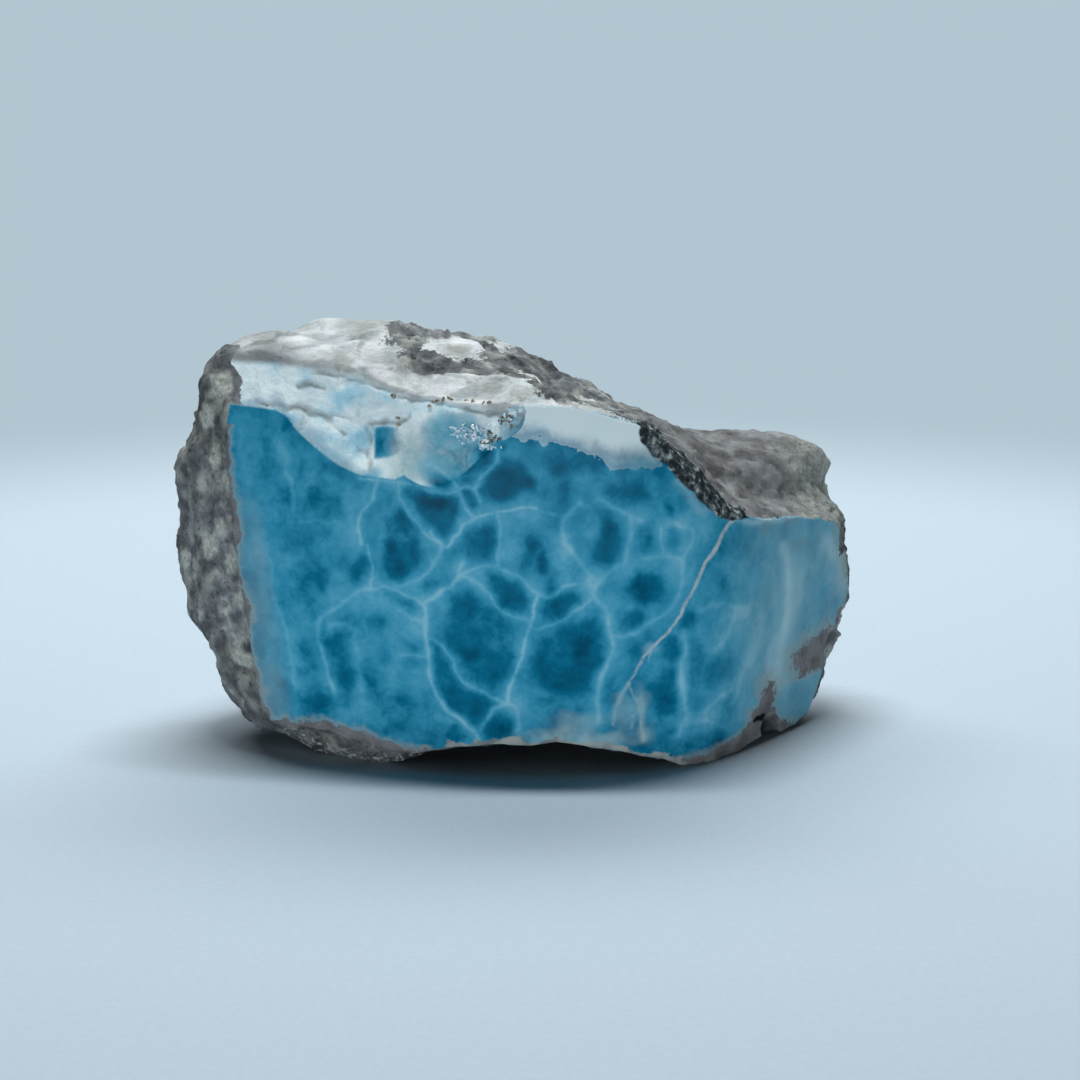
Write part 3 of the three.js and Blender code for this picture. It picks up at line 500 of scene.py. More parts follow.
# The healed crack down the face, and its short spurs.
CRACK = [
    (36.2, 41.9), (35, 41), (33.9, 39.5), (33.2, 38), (32.2, 36.5), (31.2, 35.4), (30.2, 33.4),
    (29.5, 31.8), (28.6, 29.8), (27.6, 28.6), (26.9, 26.9), (26.3, 25.8), (25, 24.2), (23.6, 22.9),
    (22.3, 21.6), (21.2, 20.5), (20.4, 19.1), (19.6, 17.6), (18.6, 15.7), (18.9, 14.1), (19.8, 12.7),
    (20.5, 10.5), (20.7, 8.2), (20.9, 5.5),
]
SPURS = [
    [(18.6, 15.7), (17.8, 14), (17.1, 12.2)],
    [(20.5, 11.2), (19.5, 10), (19, 7.7)],
    [(22.3, 21.6), (21.7, 19.2)],
]
# Where basalt reaches onto the ground face.
BASALT_ON_FACE = [
    [(48.1, 14.3), (49.5, 15.1), (52.6, 15.9), (55.7, 16.6), (57.2, 13.6), (56.4, 11.1), (54.8, 9.2),
        (51.8, 9.9), (49.7, 9.7), (48.4, 11.8)],
    [(43, 11.2), (44.4, 10.3), (44.7, 8.2), (43.9, 6.6), (45, 4.8), (42.8, 5.2), (41.2, 6.3), (42.1, 8.2),
        (42.6, 9.9)],
    [(38.1, 3.2), (39.9, 5), (40.2, 6.7), (41.8, 7.2), (43.8, 5.7), (45.5, 3.3), (48, 1.5), (51.4, 0.3),
        (50.3, -3.8), (30.9, -2.1), (27.4, 1.3), (33.5, 1.8), (36.2, 2.8)],
    [(57.6, 37.2), (58.3, 33.8), (59, 30.4), (59.3, 27.2), (59.9, 22.4), (63.9, 21.5), (63.2, 38.3)],
    [(-43.4, 6), (-41, 5.6), (-38.4, 6.2), (-36.3, 6.6), (-34, 7.1), (-31.4, 7.2), (-29.3, 6.5),
        (-27.6, 5.9), (-25.9, 6.1), (-24.6, 5.5), (-22.9, 4.7), (-20.8, 4.4), (-18.6, 3.6), (-16.5, 3.4),
        (-14.4, 3.4), (-14.5, -1), (-43.9, -4.4)],
]
# The lower line of the broken slope.
BREAK_LINE = [
    (-48, 60), (-40.5, 59.7), (-38.4, 59.5), (-36.2, 56.5), (-32.3, 53.4), (-29.1, 51.1), (-25.3, 49.8),
    (-21.5, 49.2), (-16.4, 48.9), (-13, 47.9), (-9.2, 48.2), (-6.8, 48.6), (-5.1, 50.7), (-3.4, 52.5),
    (-2.4, 55.6), (-0.4, 58.2),
]
# The pool of blue at the right of the slope, the veil beside it, and the deep blue window to its left.
POOL = [
    (-13.9, 46.6), (-14.9, 48.8), (-15.4, 51.3), (-14.9, 53.7), (-14.5, 56.1), (-14.8, 58.5), (-13.9, 59.7),
    (-11.6, 60.4), (-9.3, 60.4), (-7.4, 60.2), (-5.4, 58.9), (-3.8, 57.3), (-1.7, 56.4), (0.7, 55.5),
    (1.3, 46.7),
]
POOL_VEIL = [
    (-19.1, 58.4), (-16.8, 58.6), (-14.8, 57.7), (-14, 55.3), (-14.5, 53.2), (-14.9, 51.3), (-14.2, 49.5),
    (-16.9, 48.9), (-19.2, 48.8), (-20.8, 49.4), (-20.5, 52.4), (-19.5, 54), (-18.6, 54.7), (-18.6, 57.3),
]
WINDOW = [
    (-23.2, 58.1), (-22.2, 58.5), (-20.2, 58.4), (-18.4, 57.8), (-18.3, 55), (-19.3, 53.9), (-20.8, 53.1),
    (-23.1, 52.9),
]
# Clouds of milk in the pool, then its hearts, in the same form as the others.
POOL_CLOUDS = [
    (-11.8, 54.3, 1.1, 0.7, 0.4), (-8.4, 54.5, 0.8, 0.7, 0.4), (-7.7, 57, 1.5, 1.1, 0.6),
    (-3.8, 57.7, 1.3, 0.8, 0.45), (-2.5, 56.4, 0.8, 0.7, 0.4), (-18.1, 59.6, 1.5, 1.1, 0.5),
    (-14.2, 58.7, 1.3, 0.9, 0.25), (-19.9, 54, 1.4, 1.4, 0.3), (-17.2, 51.5, 1.5, 1, 0.25),
    (-16.8, 55.1, 1.3, 1.3, 0.25),
]
POOL_HEARTS = [
    (-22.4, 55.5, 0.8, 2.5, 0.9), (-19.9, 55.8, 0.8, 1.1, 0.4), (-12.3, 49.4, 2.3, 1.1, 0.6),
    (-5.4, 53.5, 1.5, 1.8, 0.7), (-2.1, 55, 0.8, 0.8, 0.6), (-8.7, 52.1, 2.3, 1, 0.25),
    (-10.3, 56.9, 1.6, 0.7, 0.2), (-22.4, 51, 2.1, 1.3, 0.25), (-12.6, 49.7, 4.2, 1.4, 0.405),
    (-6.1, 52.8, 2, 2.3, 0.315),
]
# The line where the slope meets the top, and the dark lines on the crust: dirt along the crest, and painted
# shade under the ledge and along the edges of the deep blue window.
CREST = [
    (-48, 66.4), (-40, 66.4), (-33, 65.8), (-26, 64.8), (-21, 62.8), (-17, 61.7), (-15.5, 61.9),
    (-10, 61.2), (-2, 60.2), (4, 59.5),
]
STAIN_AND_SHADE_LINES = [[(-43.1, 60.5), (-36.5, 60.1), (-31.2, 58.8), (-29.8, 57.3), (-28.3, 56)],
    [(-24.2, 57.9), (-24.2, 54), (-24, 50.8)], [(-24, 58.1), (-19.2, 58.2), (-17.7, 59.3)],
    CREST[2:], [(-36, 63.5), (-32, 63.2)]]


def step(low, high, value):
    """0 below low, 1 above high, and smooth in between."""
    t = np.clip((value - low) / (high - low), 0, 1)
    return t * t * (3 - 2 * t)


def reach(x, z, line):
    """Distance from each place to a drawn line, in millimetres."""
    best = np.full(len(x), 1e9)
    for (x0, z0), (x1, z1) in zip(line, line[1:]):
        dx, dz = x1 - x0, z1 - z0
        t = np.clip(((x - x0) * dx + (z - z0) * dz) / (dx * dx + dz * dz), 0, 1)
        best = np.minimum(best, np.hypot(x - x0 - t * dx, z - z0 - t * dz))
    return best


def inside(x, z, outline):
    """Distance in from a closed outline, in millimetres, negative outside it."""
    ring = outline + outline[:1]
    odd = np.zeros(len(x), bool)
    for (x0, z0), (x1, z1) in zip(ring, ring[1:]):
        if z0 != z1:
            odd ^= ((z0 > z) != (z1 > z)) & (x < x0 + (z - z0) / (z1 - z0) * (x1 - x0))
    return np.where(odd, 1, -1) * reach(x, z, ring)


def cloudy(places, size, seed):
    """Soft random values around 0 at each place, as large as the size in millimetres."""
    shift = Vector((seed * 7.3, seed * 3.1, seed * 5.7))
    return np.array([noise.noise(Vector(p) / size + shift) for p in places])


def wander(places, size, amount, seed):
    """Moves each place a little, at random, so that drawn lines wander as a mineral does."""
    return places + amount * np.stack([cloudy(places, size, seed + i) for i in range(3)], axis=1)


def blobs(x, z, places, spots, seed):
    """How deep each place lies in the nearest soft spots, 0 to 1."""
    total = np.zeros(len(x))
    ragged = cloudy(places, 2.4, seed) * 0.5 + cloudy(places, 1.1, seed + 1) * 0.25
    for along, up, half_width, half_height, strength in spots:
        far = np.hypot((x - along) / half_width, (z - up) / half_height)
        total = 1 - (1 - total) * (1 - strength * step(1.35, 0.15, far + ragged * 0.7))
    return total


DRAWN_DEPTH = 11           # how far behind the ground face the drawn places reach, in millimetres
# The drawn places are laid out as they are seen from the camera. Behind the face they are carried back about
# along its lines of sight, and from then on they stay fixed on the stone.
EYE_ALONG = 3.9            # where the camera stands along the stone, in millimetres
EYE_AWAY = 430             # how far off the lines of sight meet, in millimetres, a little beyond the camera
EYE_FALL = 0.21            # how far they fall in each millimetre, about the tangent of LOOK_DOWN

front = np.flatnonzero(inset < DRAWN_DEPTH)
here = points[front]
on_ground = touches_ground[front]
sunk = np.clip(inset[front], 0, None) * ~on_ground
slanted = here + np.stack([(EYE_ALONG - here[:, 0]) * sunk / EYE_AWAY, 0 * sunk, EYE_FALL * sunk], axis=1)
drawn = wander(wander(slanted, 5, 0.6, 1), 1.7, 0.3, 5)
x, z = drawn[:, 0], drawn[:, 2]
wall_far = np.full(len(front), 9.0)
wall_strength = np.zeros(len(front))
glow = np.zeros(len(front))
for strength, width, line in WALLS:
    far = reach(x, z, line)
    nearer = far / width < wall_far
    wall_far = np.where(nearer, far / width, wall_far)
    wall_strength = np.where(nearer, strength, wall_strength)
    glow = 1 - (1 - glow) * (1 - strength * (0.42 * np.exp(-far / 0.7) + 0.5 * np.exp(-far / 2.9)))
glow = glow * (1 + 0.5 * step(8, 22, x))
wall_strength = wall_strength * (1 - 0.45 * step(14, 26, x))
cell = np.zeros(len(front))
for depth, fade, outline in CELLS:
    cell = np.maximum(cell, depth * step(-0.9, 0.3 + 0.5 * fade, inside(x, z, outline)))
heart = blobs(x, z, here, HEARTS + POOL_HEARTS, 11)
# Pale clouds in the blue; those at the far left of the face are partly a painted sheen.
haze_and_sheen = blobs(x, z, here, HAZE_AND_SHEEN, 21)
cloud = blobs(x, z, here, CREAM, 23)
for strength, width, line in STREAKS:
    cloud = 1 - (1 - cloud) * (1 - strength * np.exp(-(reach(x, z, line) / width) ** 2))
streak = cloudy(here * (1, 1, 0.35), 2.6, 35)
patchy = 0.14 * cloudy(here, 6, 31) + 0.08 * cloudy(here, 2.8, 33) + 0.08 * streak
# How light the blue is, from 0 in the deepest heart to 1 on the palest wall.
light = 0.455 + 0.27 * glow + 0.32 * haze_and_sheen - 0.27 * cell - 0.24 * heart + patchy * (1 - 0.4 * cell)
light = light - 0.055 * step(-22, -12, x) * step(26, 16, x) - 0.03 * step(16, 26, x)
light = light + 0.23 * step(32, 42, x) + 0.05 * step(44, 50, x) * step(16, 8, z)
pool = step(-1.2, 1.4, inside(x, z, POOL) + 0.8 * cloudy(here, 2.2, 73)) * ~on_ground
light = light + pool * (0.15 + 0.29 * step(50.5, 54.5, z) + 0.16 * cloudy(here, 3.2, 37) - 0.28 * heart)
in_window = step(-0.3, 0.3, inside(slanted[:, 0], slanted[:, 2], WINDOW)) * ~on_ground
in_window = in_window * step(-17.6, -21.6, slanted[:, 0])
pool_veil = inside(x, z, POOL_VEIL)
pool_milk = blobs(x, z, here, POOL_CLOUDS, 25)

straight = wander(here, 1.4, 0.22, 43)
crack = reach(straight[:, 0], straight[:, 2], CRACK)
spurs = 0.16 + np.min([reach(straight[:, 0], straight[:, 2], spur) for spur in SPURS], axis=0)
crack = np.minimum(crack + 0.06 - 0.13 * step(28, 42, here[:, 2]), spurs)
slight = wander(here, 1.6, 0.5, 41)
x, z = slight[:, 0], slight[:, 2]
ridge = inside(x, z, RIDGE)
band = inside(x, z, BAND)
basalt_on_face = np.max([inside(x, z, outline) for outline in BASALT_ON_FACE], axis=0)
# Dark lines on the crust: dirt along the crest, and painted shade under the ledge and beside the deep blue
# window.
stain = np.min([reach(x, z, line) for line in STAIN_AND_SHADE_LINES], axis=0)
veil = np.where(on_ground, 14 - here[:, 2] - 20 * (here[:, 0] > 24), pool_veil)

# Pale stone covers the broken slope over the face and part of the top. Elsewhere the outside is basalt.
slope_top = np.interp(here[:, 0], [p[0] for p in BREAK_LINE], [p[1] for p in BREAK_LINE])
left_end = here[:, 0] + 47.6
in_slope = np.min([13 - inset[front], here[:, 2] - slope_top + 5, left_end, 3 - here[:, 0]], axis=0)
pale = np.full(len(points), -6.0)
pale[front] = np.maximum(pale[front], in_slope)
# Pale crust on the top and over the crest: a place, and how far the crust reaches from it.
PALE_PATCHES = [
    ((-39, -4, 70), 17), ((-26, -16, 67), 8), ((-29, 6, 71), 7), ((-10, -10, 69), 4.5), ((2, -14, 65), 2),
    ((-2, -3, 69), 3), ((12, -12, 60), 3), ((-14, 3, 71), 3.6),
]
for place, radius in PALE_PATCHES:
    pale = np.maximum(pale, radius - np.linalg.norm(points - place, axis=1))
along_rim = (points[:, 0] > -20) & (points[:, 0] < 22) & (points[:, 2] > 50)
seen_x = points[:, 0] + (EYE_ALONG - points[:, 0]) * np.clip(inset, 0, None) / EYE_AWAY
seen_z = points[:, 2] + EYE_FALL * np.clip(inset, 0, None)
pale = np.where(along_rim, np.maximum(pale, np.where(points[:, 0] < -6, 2.6, 1.6) - from_rim), pale)
pale = pale + 3.4 * cloudy(points, 4.2, 51) + 1.8 * cloudy(points, 1.9, 53)
pale[front] = np.maximum(pale[front], 8 * pool - 2)
knob_edge = seen_x + 2.4 * cloudy(points, 3.4, 87) + 1.2 * cloudy(points, 1.5, 88)
pale = pale - 14 * step(-45.6, -47.6, knob_edge) * (inset < 26) * (points[:, 2] > 50)

above = here[:, 2] - np.interp(here[:, 0], [p[0] for p in CREST], [p[1] for p in CREST])
blue_side = pool * step(0.9, -1.4, above)
pale_side = 1.0 + 0.2 * np.minimum(cloudy(here, 4.5, 75), 0)
in_pool = 0.9 * pool_milk ** 1.2 + 0.25 * np.maximum(cloudy(here, 2.4, 77) - 0.1, 0)
milk_here = np.where(on_ground, cloud, pale_side + blue_side * (in_pool - pale_side))
milk_here = np.maximum(milk_here, 0.8 * step(-1.5, 2, veil) * ~on_ground)
milk_here = milk_here * (1 - in_window)
over_break = here[:, 2] - slope_top + 1.6 * cloudy(here, 3.0, 83)
thin_crust = step(3.4, 0.2, over_break) * 0.62 * step(-0.5, -2, pool_veil)
thin_patches = step(0.05, 0.35, cloudy(here, 4.2, 85)) * 0.16 * step(-14, -22, here[:, 0])
thin_crust = np.maximum(thin_crust, thin_patches)
milk_here = milk_here * (1 - np.clip(thin_crust, 0, 1) * ~on_ground * step(2, -1, above))
milk = np.full(len(points), 1.0)
milk[front] = milk_here


def keep(name, values, rest=0.0, kind="POINT"):
    """Stores a value for each point of the stone, so that its finish can read it."""
    if len(values) == len(front):
        spread = np.full(len(points), rest)
        spread[front] = values
        values = spread
    stone_mesh.attributes.new(name, "FLOAT", kind).data.foreach_set("value", values.astype(np.float32))


for vertex, place in zip(body.verts, points):
    vertex.co = place / MM
stone_mesh = bpy.data.meshes.new("stone body")
body.to_mesh(stone_mesh)
body.free()
keep("wall_far", wall_far, 9.0)
keep("wall_strength", wall_strength)
keep("veil", step(-1.5, 2.5, veil))
keep("ridge", np.where(on_ground, ridge, -9), -9.0)
chipped = 0.9 + 1.2 * cloudy(here, 3.5, 71) + 0.5 * cloudy(here, 1.3, 72) - from_rim[front]
keep("chipped", np.where(on_ground & (here[:, 2] < 16) & (np.abs(here[:, 0]) < 29), chipped, -9), -9.0)
# Painted shade: the pit at the foot of the face.
pit_painted_shade = np.max([1 - np.hypot((x - p[0]) / p[2], (z - p[1]) / p[3]) for p in SHADED_PITS], axis=0)
keep("pit_painted_shade", np.where(on_ground, pit_painted_shade, -1), -1.0)
rust = blobs(slanted[:, 0], slanted[:, 2], here, RUST, 27)
for name, spots in ("crystals", CRYSTAL_SPOTS), ("chips", CHIP_SPOTS):
    keep(name, blobs(slanted[:, 0], slanted[:, 2], here, spots, 29) * (inset[front] > -0.3))
# White flecks at the foot of the lip, painted bright as glints.
keep("glint_flecked", np.where(here[:, 0] < -12, step(2.4, 0.4, reach(slanted[:, 0], slanted[:, 2], LIP_FOOT)), 0))
paler = blobs(seen_x, seen_z, points, RIND_PALE, 89) * step(-36, -41, points[:, 0])
keep("paler", np.maximum(paler, 0.42 * step(42, 52, points[:, 0]) * step(30, 38, points[:, 2])) * is_rock)
left_edge = here[:, 0] + 46 - 0.13 * np.clip(55 - here[:, 2], 0, None)
greyed = np.maximum(step(33, 46, here[:, 0]), 1.5 * step(3.0, 0.3, left_edge) * step(50, 36, here[:, 2]))
keep("greyed", greyed * on_ground * (0.75 + 0.5 * cloudy(here, 5, 79)))
keep("ridge_grey", step(12, 20, here[:, 0]) * step(57, 53, here[:, 2]))
keep("rust", np.where(on_ground, rust, 0))
keep("worn", step(16, 26, points[:, 0]) * step(34, 44, points[:, 2]) * is_rock)
# Painted shade: the hollow under the lip at the foot of the face is darkened where the stone's shadow falls.
shade_under_lip = step(9, 3, points[:, 2]) * step(40, 28, inset) * step(2, 4.5, inset)
keep("hollow_painted_shade", shade_under_lip * step(-30, -18, points[:, 0]) * is_rock)
dusty = 0.06 + 0.62 * step(-30, -42, seen_x) + 0.5 * cloudy(points, 6, 91)
keep("dusty", np.clip(dusty, 0, 1) * is_rock)
keep("above", np.where(on_ground, -9, above), 9.0)
keep("light", light, 0.45)
keep("milk", milk)
by_band = (here[:, 0] > 19.5) & (here[:, 0] < 38.5) & (here[:, 2] > 40)
band_reach = 2.3 + 2.4 * step(20, 26, here[:, 0]) * step(37, 31, here[:, 0])
band_behind = np.where(by_band, band_reach - from_rim[front] + cloudy(here, 2, 63), -9)
keep("band", np.where(on_ground, band, band_behind), -9.0)
keep("crack", np.where(on_ground, crack, 9), 9.0)
keep("crack_share", 0.4 + 0.6 * step(12, 24, here[:, 2]))
keep("stain", np.where(on_ground, 9, stain), 9.0)
ragged_edge = 0.4 + 1.3 * cloudy(here, 4.5, 61) + 0.6 * cloudy(here, 1.6, 62) - from_rim[front]
basalt_on_face = basalt_on_face * np.where((here[:, 0] > 40) & (here[:, 2] > 9), 0.4, 1)
by_left_rim = (here[:, 0] < -38.5) & (here[:, 2] < 57)
basalt_on_face = np.where(by_left_rim, np.maximum(basalt_on_face, ragged_edge), basalt_on_face)
basalt = np.where(touches_ground, -9, -pale)
basalt[front] = np.where(on_ground, basalt_on_face, basalt[front])
keep("basalt", basalt)
keep("from_rim", from_rim)
keep("is_ground", ground.astype(float), kind="FACE")

rougher = is_rock * (1 - 0.35 * step(-44, -50, points[:, 0]))
keep("roughness_share", rougher * step(0.0, 1.4, from_rim) * step(0.0, 1.2, points[:, 2]))
keep("chalk", step(-0.4, 0.8, pale) * is_rock)

stone = bpy.data.objects.new("larimar_stone", stone_mesh)
scene.collection.objects.link(stone)


# ---- The stone: its broken surface ----
# Basalt breaks into small tilted chips, with lumps and gas pits between them. The pale crust breaks into
# larger, cleaner flakes. The ground face and the patches that the stone stands on keep their shape.
relief = bpy.data.node_groups.new("broken surface", "GeometryNodeTree")
relief.interface.new_socket("Geometry", in_out="INPUT", socket_type="NodeSocketGeometry")
relief.interface.new_socket("Geometry", in_out="OUTPUT", socket_type="NodeSocketGeometry")
# Millimetres, and a slope for each tilt.
SIZES = {"Lump width": 4.6, "Lump height": 2.4, "Chip width": 2.4, "Chip tilt": 0.5, "Pit spacing": 2.6,
    "Pit depth": 0.7, "Flake width": 5.2, "Flake tilt": 0.18, "Groove depth": 0.5}
for name, value in SIZES.items():
    socket = relief.interface.new_socket(name, in_out="INPUT", socket_type="NodeSocketFloat")
    socket.default_value = value if "tilt" in name else value / MM
finish_socket = relief.interface.new_socket("Finish", in_out="INPUT", socket_type="NodeSocketMaterial")
given = relief.nodes.new("NodeGroupInput").outputs
GMATH, GVECTOR = "ShaderNodeMath", "ShaderNodeVectorMath"


def per(size):
    """How many of that size fit in a metre."""
    return add(relief, GMATH, {0: 1.0, 1: given[size]}, operation="DIVIDE")


def chips(width, tilt, where):
    """Height of small flat chips, each tilted its own way."""
    cells = relief.nodes.new("ShaderNodeTexVoronoi")
    relief.links.new(where, cells.inputs["Vector"])
    relief.links.new(per(width), cells.inputs["Scale"])
    lean = add(relief, GVECTOR, {0: cells.outputs["Color"], 1: (0.5, 0.5, 0.5)}, operation="SUBTRACT")
    away = add(relief, GVECTOR, {0: where, 1: cells.outputs["Position"]}, operation="SUBTRACT")
    fall = add(relief, GVECTOR, {0: away, 1: lean}, give="Value", operation="DOT_PRODUCT")
    return add(relief, GMATH, {0: fall, 1: given[tilt]}, operation="MULTIPLY")


at = add(relief, "GeometryNodeInputPosition")
wobble = add(relief, "ShaderNodeTexNoise", {"Vector": at, "Scale": 300.0, "Detail": 2.0}, give="Color")
bent = add(relief, GVECTOR, {0: wobble, 1: (0.0016, 0.0016, 0.0016), 2: at}, operation="MULTIPLY_ADD")
lumps = add(relief, "ShaderNodeTexNoise", {"Vector": at, "Scale": per("Lump width"), "Detail": 5.0,
    "Roughness": 0.62})
lumps = add(relief, GMATH, {0: lumps, 1: 0.5}, operation="SUBTRACT")
lumps = add(relief, GMATH, {0: lumps, 1: given["Lump height"]}, operation="MULTIPLY")
pits = add(relief, "ShaderNodeTexVoronoi", {"Vector": bent, "Scale": per("Pit spacing")})
pits = add(relief, "ShaderNodeMapRange", {"Value": pits, "From Min": 0.42, "From Max": 0.12},
    interpolation_type="SMOOTHSTEP")
some = add(relief, "ShaderNodeTexNoise", {"Vector": at, "Scale": 190.0})
some = add(relief, "ShaderNodeMapRange", {"Value": some, "From Min": 0.48, "From Max": 0.58},
    interpolation_type="SMOOTHSTEP")
pits = add(relief, GMATH, {0: pits, 1: some}, operation="MULTIPLY")
pits = add(relief, GMATH, {0: pits, 1: given["Pit depth"]}, operation="MULTIPLY")
basalt_height = add(relief, GMATH, {0: lumps, 1: chips("Chip width", "Chip tilt", bent)}, operation="ADD")
basalt_height = add(relief, GMATH, {0: basalt_height, 1: pits}, operation="SUBTRACT")
groove = add(relief, "GeometryNodeInputNamedAttribute", {"Name": "stain"}, data_type="FLOAT")
groove = add(relief, "ShaderNodeMapRange", {"Value": groove, "From Min": 0.8, "From Max": 0.1},
    interpolation_type="SMOOTHSTEP")
groove = add(relief, GMATH, {0: groove, 1: given["Groove depth"]}, operation="MULTIPLY")
flakes = chips("Flake width", "Flake tilt", bent)
flake_height = add(relief, GMATH, {0: flakes, 1: groove}, operation="SUBTRACT")
chalk_share = add(relief, "GeometryNodeInputNamedAttribute", {"Name": "chalk"}, data_type="FLOAT")
rock_height = add(relief, "ShaderNodeMix", {0: chalk_share, 2: basalt_height, 3: flake_height},
    data_type="FLOAT")
free_share = add(relief, "GeometryNodeInputNamedAttribute", {"Name": "roughness_share"}, data_type="FLOAT")
rock_height = add(relief, GMATH, {0: rock_height, 1: free_share}, operation="MULTIPLY")
worn_share = add(relief, "GeometryNodeInputNamedAttribute", {"Name": "worn"}, data_type="FLOAT")
worn_share = add(relief, "ShaderNodeMapRange", {"Value": worn_share, "To Min": 1.0, "To Max": 0.75})
rock_height = add(relief, GMATH, {0: rock_height, 1: worn_share}, operation="MULTIPLY")
outward = add(relief, "GeometryNodeInputNormal")
out_by = add(relief, GVECTOR, {0: outward, "Scale": rock_height}, operation="SCALE")
moved = add(relief, "GeometryNodeSetPosition", {"Geometry": given["Geometry"], "Offset": out_by})
moved = add(relief, "GeometryNodeRealizeInstances", {0: moved})
moved = add(relief, "GeometryNodeSetMaterial", {"Geometry": moved, "Material": given["Finish"]})
relief.links.new(moved, relief.nodes.new("NodeGroupOutput").inputs[0])

rock = bpy.data.materials.new("larimar in basalt")
worker = stone.modifiers.new("broken surface", "NODES")
worker.node_group = relief
worker[finish_socket.identifier] = rock
worked = bpy.data.meshes.new_from_object(stone.evaluated_get(bpy.context.evaluated_depsgraph_get()))
stone.modifiers.clear()
stone.data = worked
bpy.data.meshes.remove(stone_mesh)
stone_mesh = worked
stone_mesh.name = "stone"


# ---- The stone: its finish ----
# Larimar in its basalt. The ground face is smooth and a little glossy, with pale walls that seem to lie
# inside the stone. The broken slope is chalky white to pale blue. The basalt is grey, dull and grainy, with
# patches of pale rind.
rock.use_nodes = True
tree = rock.node_tree
surface = tree.nodes["Principled BSDF"]
surface.inputs["Specular IOR Level"].default_value = 0.03
MATH, MIX = "ShaderNodeMath", "ShaderNodeMix"


def read(name):
    """What was stored on the stone under that name."""
    return add(tree, "ShaderNodeAttribute", attribute_name=name, give="Fac")


def blend(under, over, share, mode="MIX"):
    """One colour laid over another."""
    return add(tree, MIX, {0: share, 6: under, 7: over}, give=2, data_type="RGBA", blend_type=mode)


def between(value, low, high, to_low=0.0, to_high=1.0):
    """Turns a run of values into another run, eased at both ends."""
    return add(tree, "ShaderNodeMapRange", {"Value": value, "From Min": low, "From Max": high,
        "To Min": to_low, "To Max": to_high}, interpolation_type="SMOOTHSTEP")


def mottle(size, detail=3.0, rough=0.55, warp=0.0):
    """Random cloudy values, 0 to 1, as large as the size in millimetres."""
    return add(tree, "ShaderNodeTexNoise", {"Vector": place, "Scale": 1 / size, "Detail": detail,
        "Roughness": rough, "Distortion": warp})


place = add(tree, "ShaderNodeTexCoord", give="Object")
place = add(tree, "ShaderNodeVectorMath", {0: place, "Scale": MM}, operation="SCALE")

# Larimar.
fine = mottle(1.3, 3.0, 0.5, warp=0.6)
broad = mottle(4.5, 3.0)
wisps = mottle(2.4, 5.0, 0.62, warp=1.0)
lift = add(tree, MATH, {0: read("light"), 1: between(fine, 0.25, 0.75, -0.03, 0.03)}, operation="ADD")
lift = add(tree, MATH, {0: lift, 1: between(wisps, 0.3, 0.7, -0.045, 0.045)}, operation="ADD")
wall_far_off, strength = read("wall_far"), read("wall_strength")
wall_line = add(tree, MATH, {0: between(wall_far_off, 1.3, 0.1), 1: strength}, operation="MULTIPLY")
wall_line = add(tree, MATH, {0: wall_line, 1: between(broad, 0.35, 0.65, 0.07, 0.17)}, operation="MULTIPLY")
wall_core = add(tree, MATH, {0: between(wall_far_off, 0.7, 0.1), 1: strength}, operation="MULTIPLY")
wall_core = add(tree, MATH, {0: wall_core, 1: 0.10}, operation="MULTIPLY")
wall_line = add(tree, MATH, {0: wall_line, 1: wall_core}, operation="ADD")
lift = add(tree, MATH, {0: wall_line, 1: lift}, operation="ADD")
larimar = add(tree, "ShaderNodeValToRGB", {"Fac": lift},
    stops=[(0.0, "#00374d"), (0.18, "#00526e"), (0.36, "#087090"), (0.52, "#3493b2"), (0.7, "#58a9c4"),
        (0.9, "#84c1d2")])
greyed_share = add(tree, MATH, {0: read("greyed"), 1: 0.42}, operation="MULTIPLY")
larimar = blend(larimar, colour("#7f9da6"), greyed_share)
milk_share = add(tree, MATH, {0: read("milk"), 1: between(broad, 0.3, 0.7, 0.85, 1.2)}, operation="MULTIPLY")
milky = add(tree, "ShaderNodeValToRGB", {"Fac": mottle(5.5, 2.0, 0.45)},
    stops=[(0.31, "#b0e2f2"), (0.41, "#d3f4fc"), (0.52, "#eefeff")])
milky = blend(milky, colour("#a2ced7"), add(tree, MATH, {0: read("is_ground"), 1: 0.8}, operation="MULTIPLY"))
milky = blend(milky, colour("#abc6c4"), add(tree, MATH, {0: read("veil"), 1: 0.75}, operation="MULTIPLY"))
top_white = add(tree, "ShaderNodeValToRGB", {"Fac": mottle(5.0, 3.0, 0.5)},
    stops=[(0.34, "#b3b6b0"), (0.48, "#d0d6d3"), (0.62, "#eaeeed")])
top_white = blend(top_white, colour("#8d9190"), read("dusty"))
milky = blend(milky, top_white, between(read("above"), -0.4, 0.8))
paint = blend(larimar, milky, add(tree, MATH, {0: milk_share, 1: 0.0}, operation="MAXIMUM", use_clamp=True))
ridge_in = add(tree, MATH, {0: read("ridge"), 1: between(broad, 0.3, 0.7, -0.6, 0.6)}, operation="ADD")
ridge_in = add(tree, MATH, {0: ridge_in, 1: between(wisps, 0.3, 0.7, -0.3, 0.3)}, operation="ADD")
ridge_lip = between(ridge_in, 0.40, 0.12, 0.0, 0.16)
ridge_milk = add(tree, MATH, {0: between(ridge_in, 0.1, 3.2, 0.32, 0.97), 1: ridge_lip}, operation="ADD")
ridge_milk = add(tree, MATH, {0: ridge_milk, 1: between(ridge_in, -0.1, 0.12)}, operation="MULTIPLY",
    use_clamp=True)
ridge_colour = blend(colour("#eef8f6"), colour("#93a8aa"), between(read("ridge_grey"), 0.0, 1.0))
paint = blend(paint, blend(milky, ridge_colour, 0.75), ridge_milk)
chipped_in = add(tree, MATH, {0: read("chipped"), 1: between(fine, 0.25, 0.75, -0.3, 0.3)}, operation="ADD")
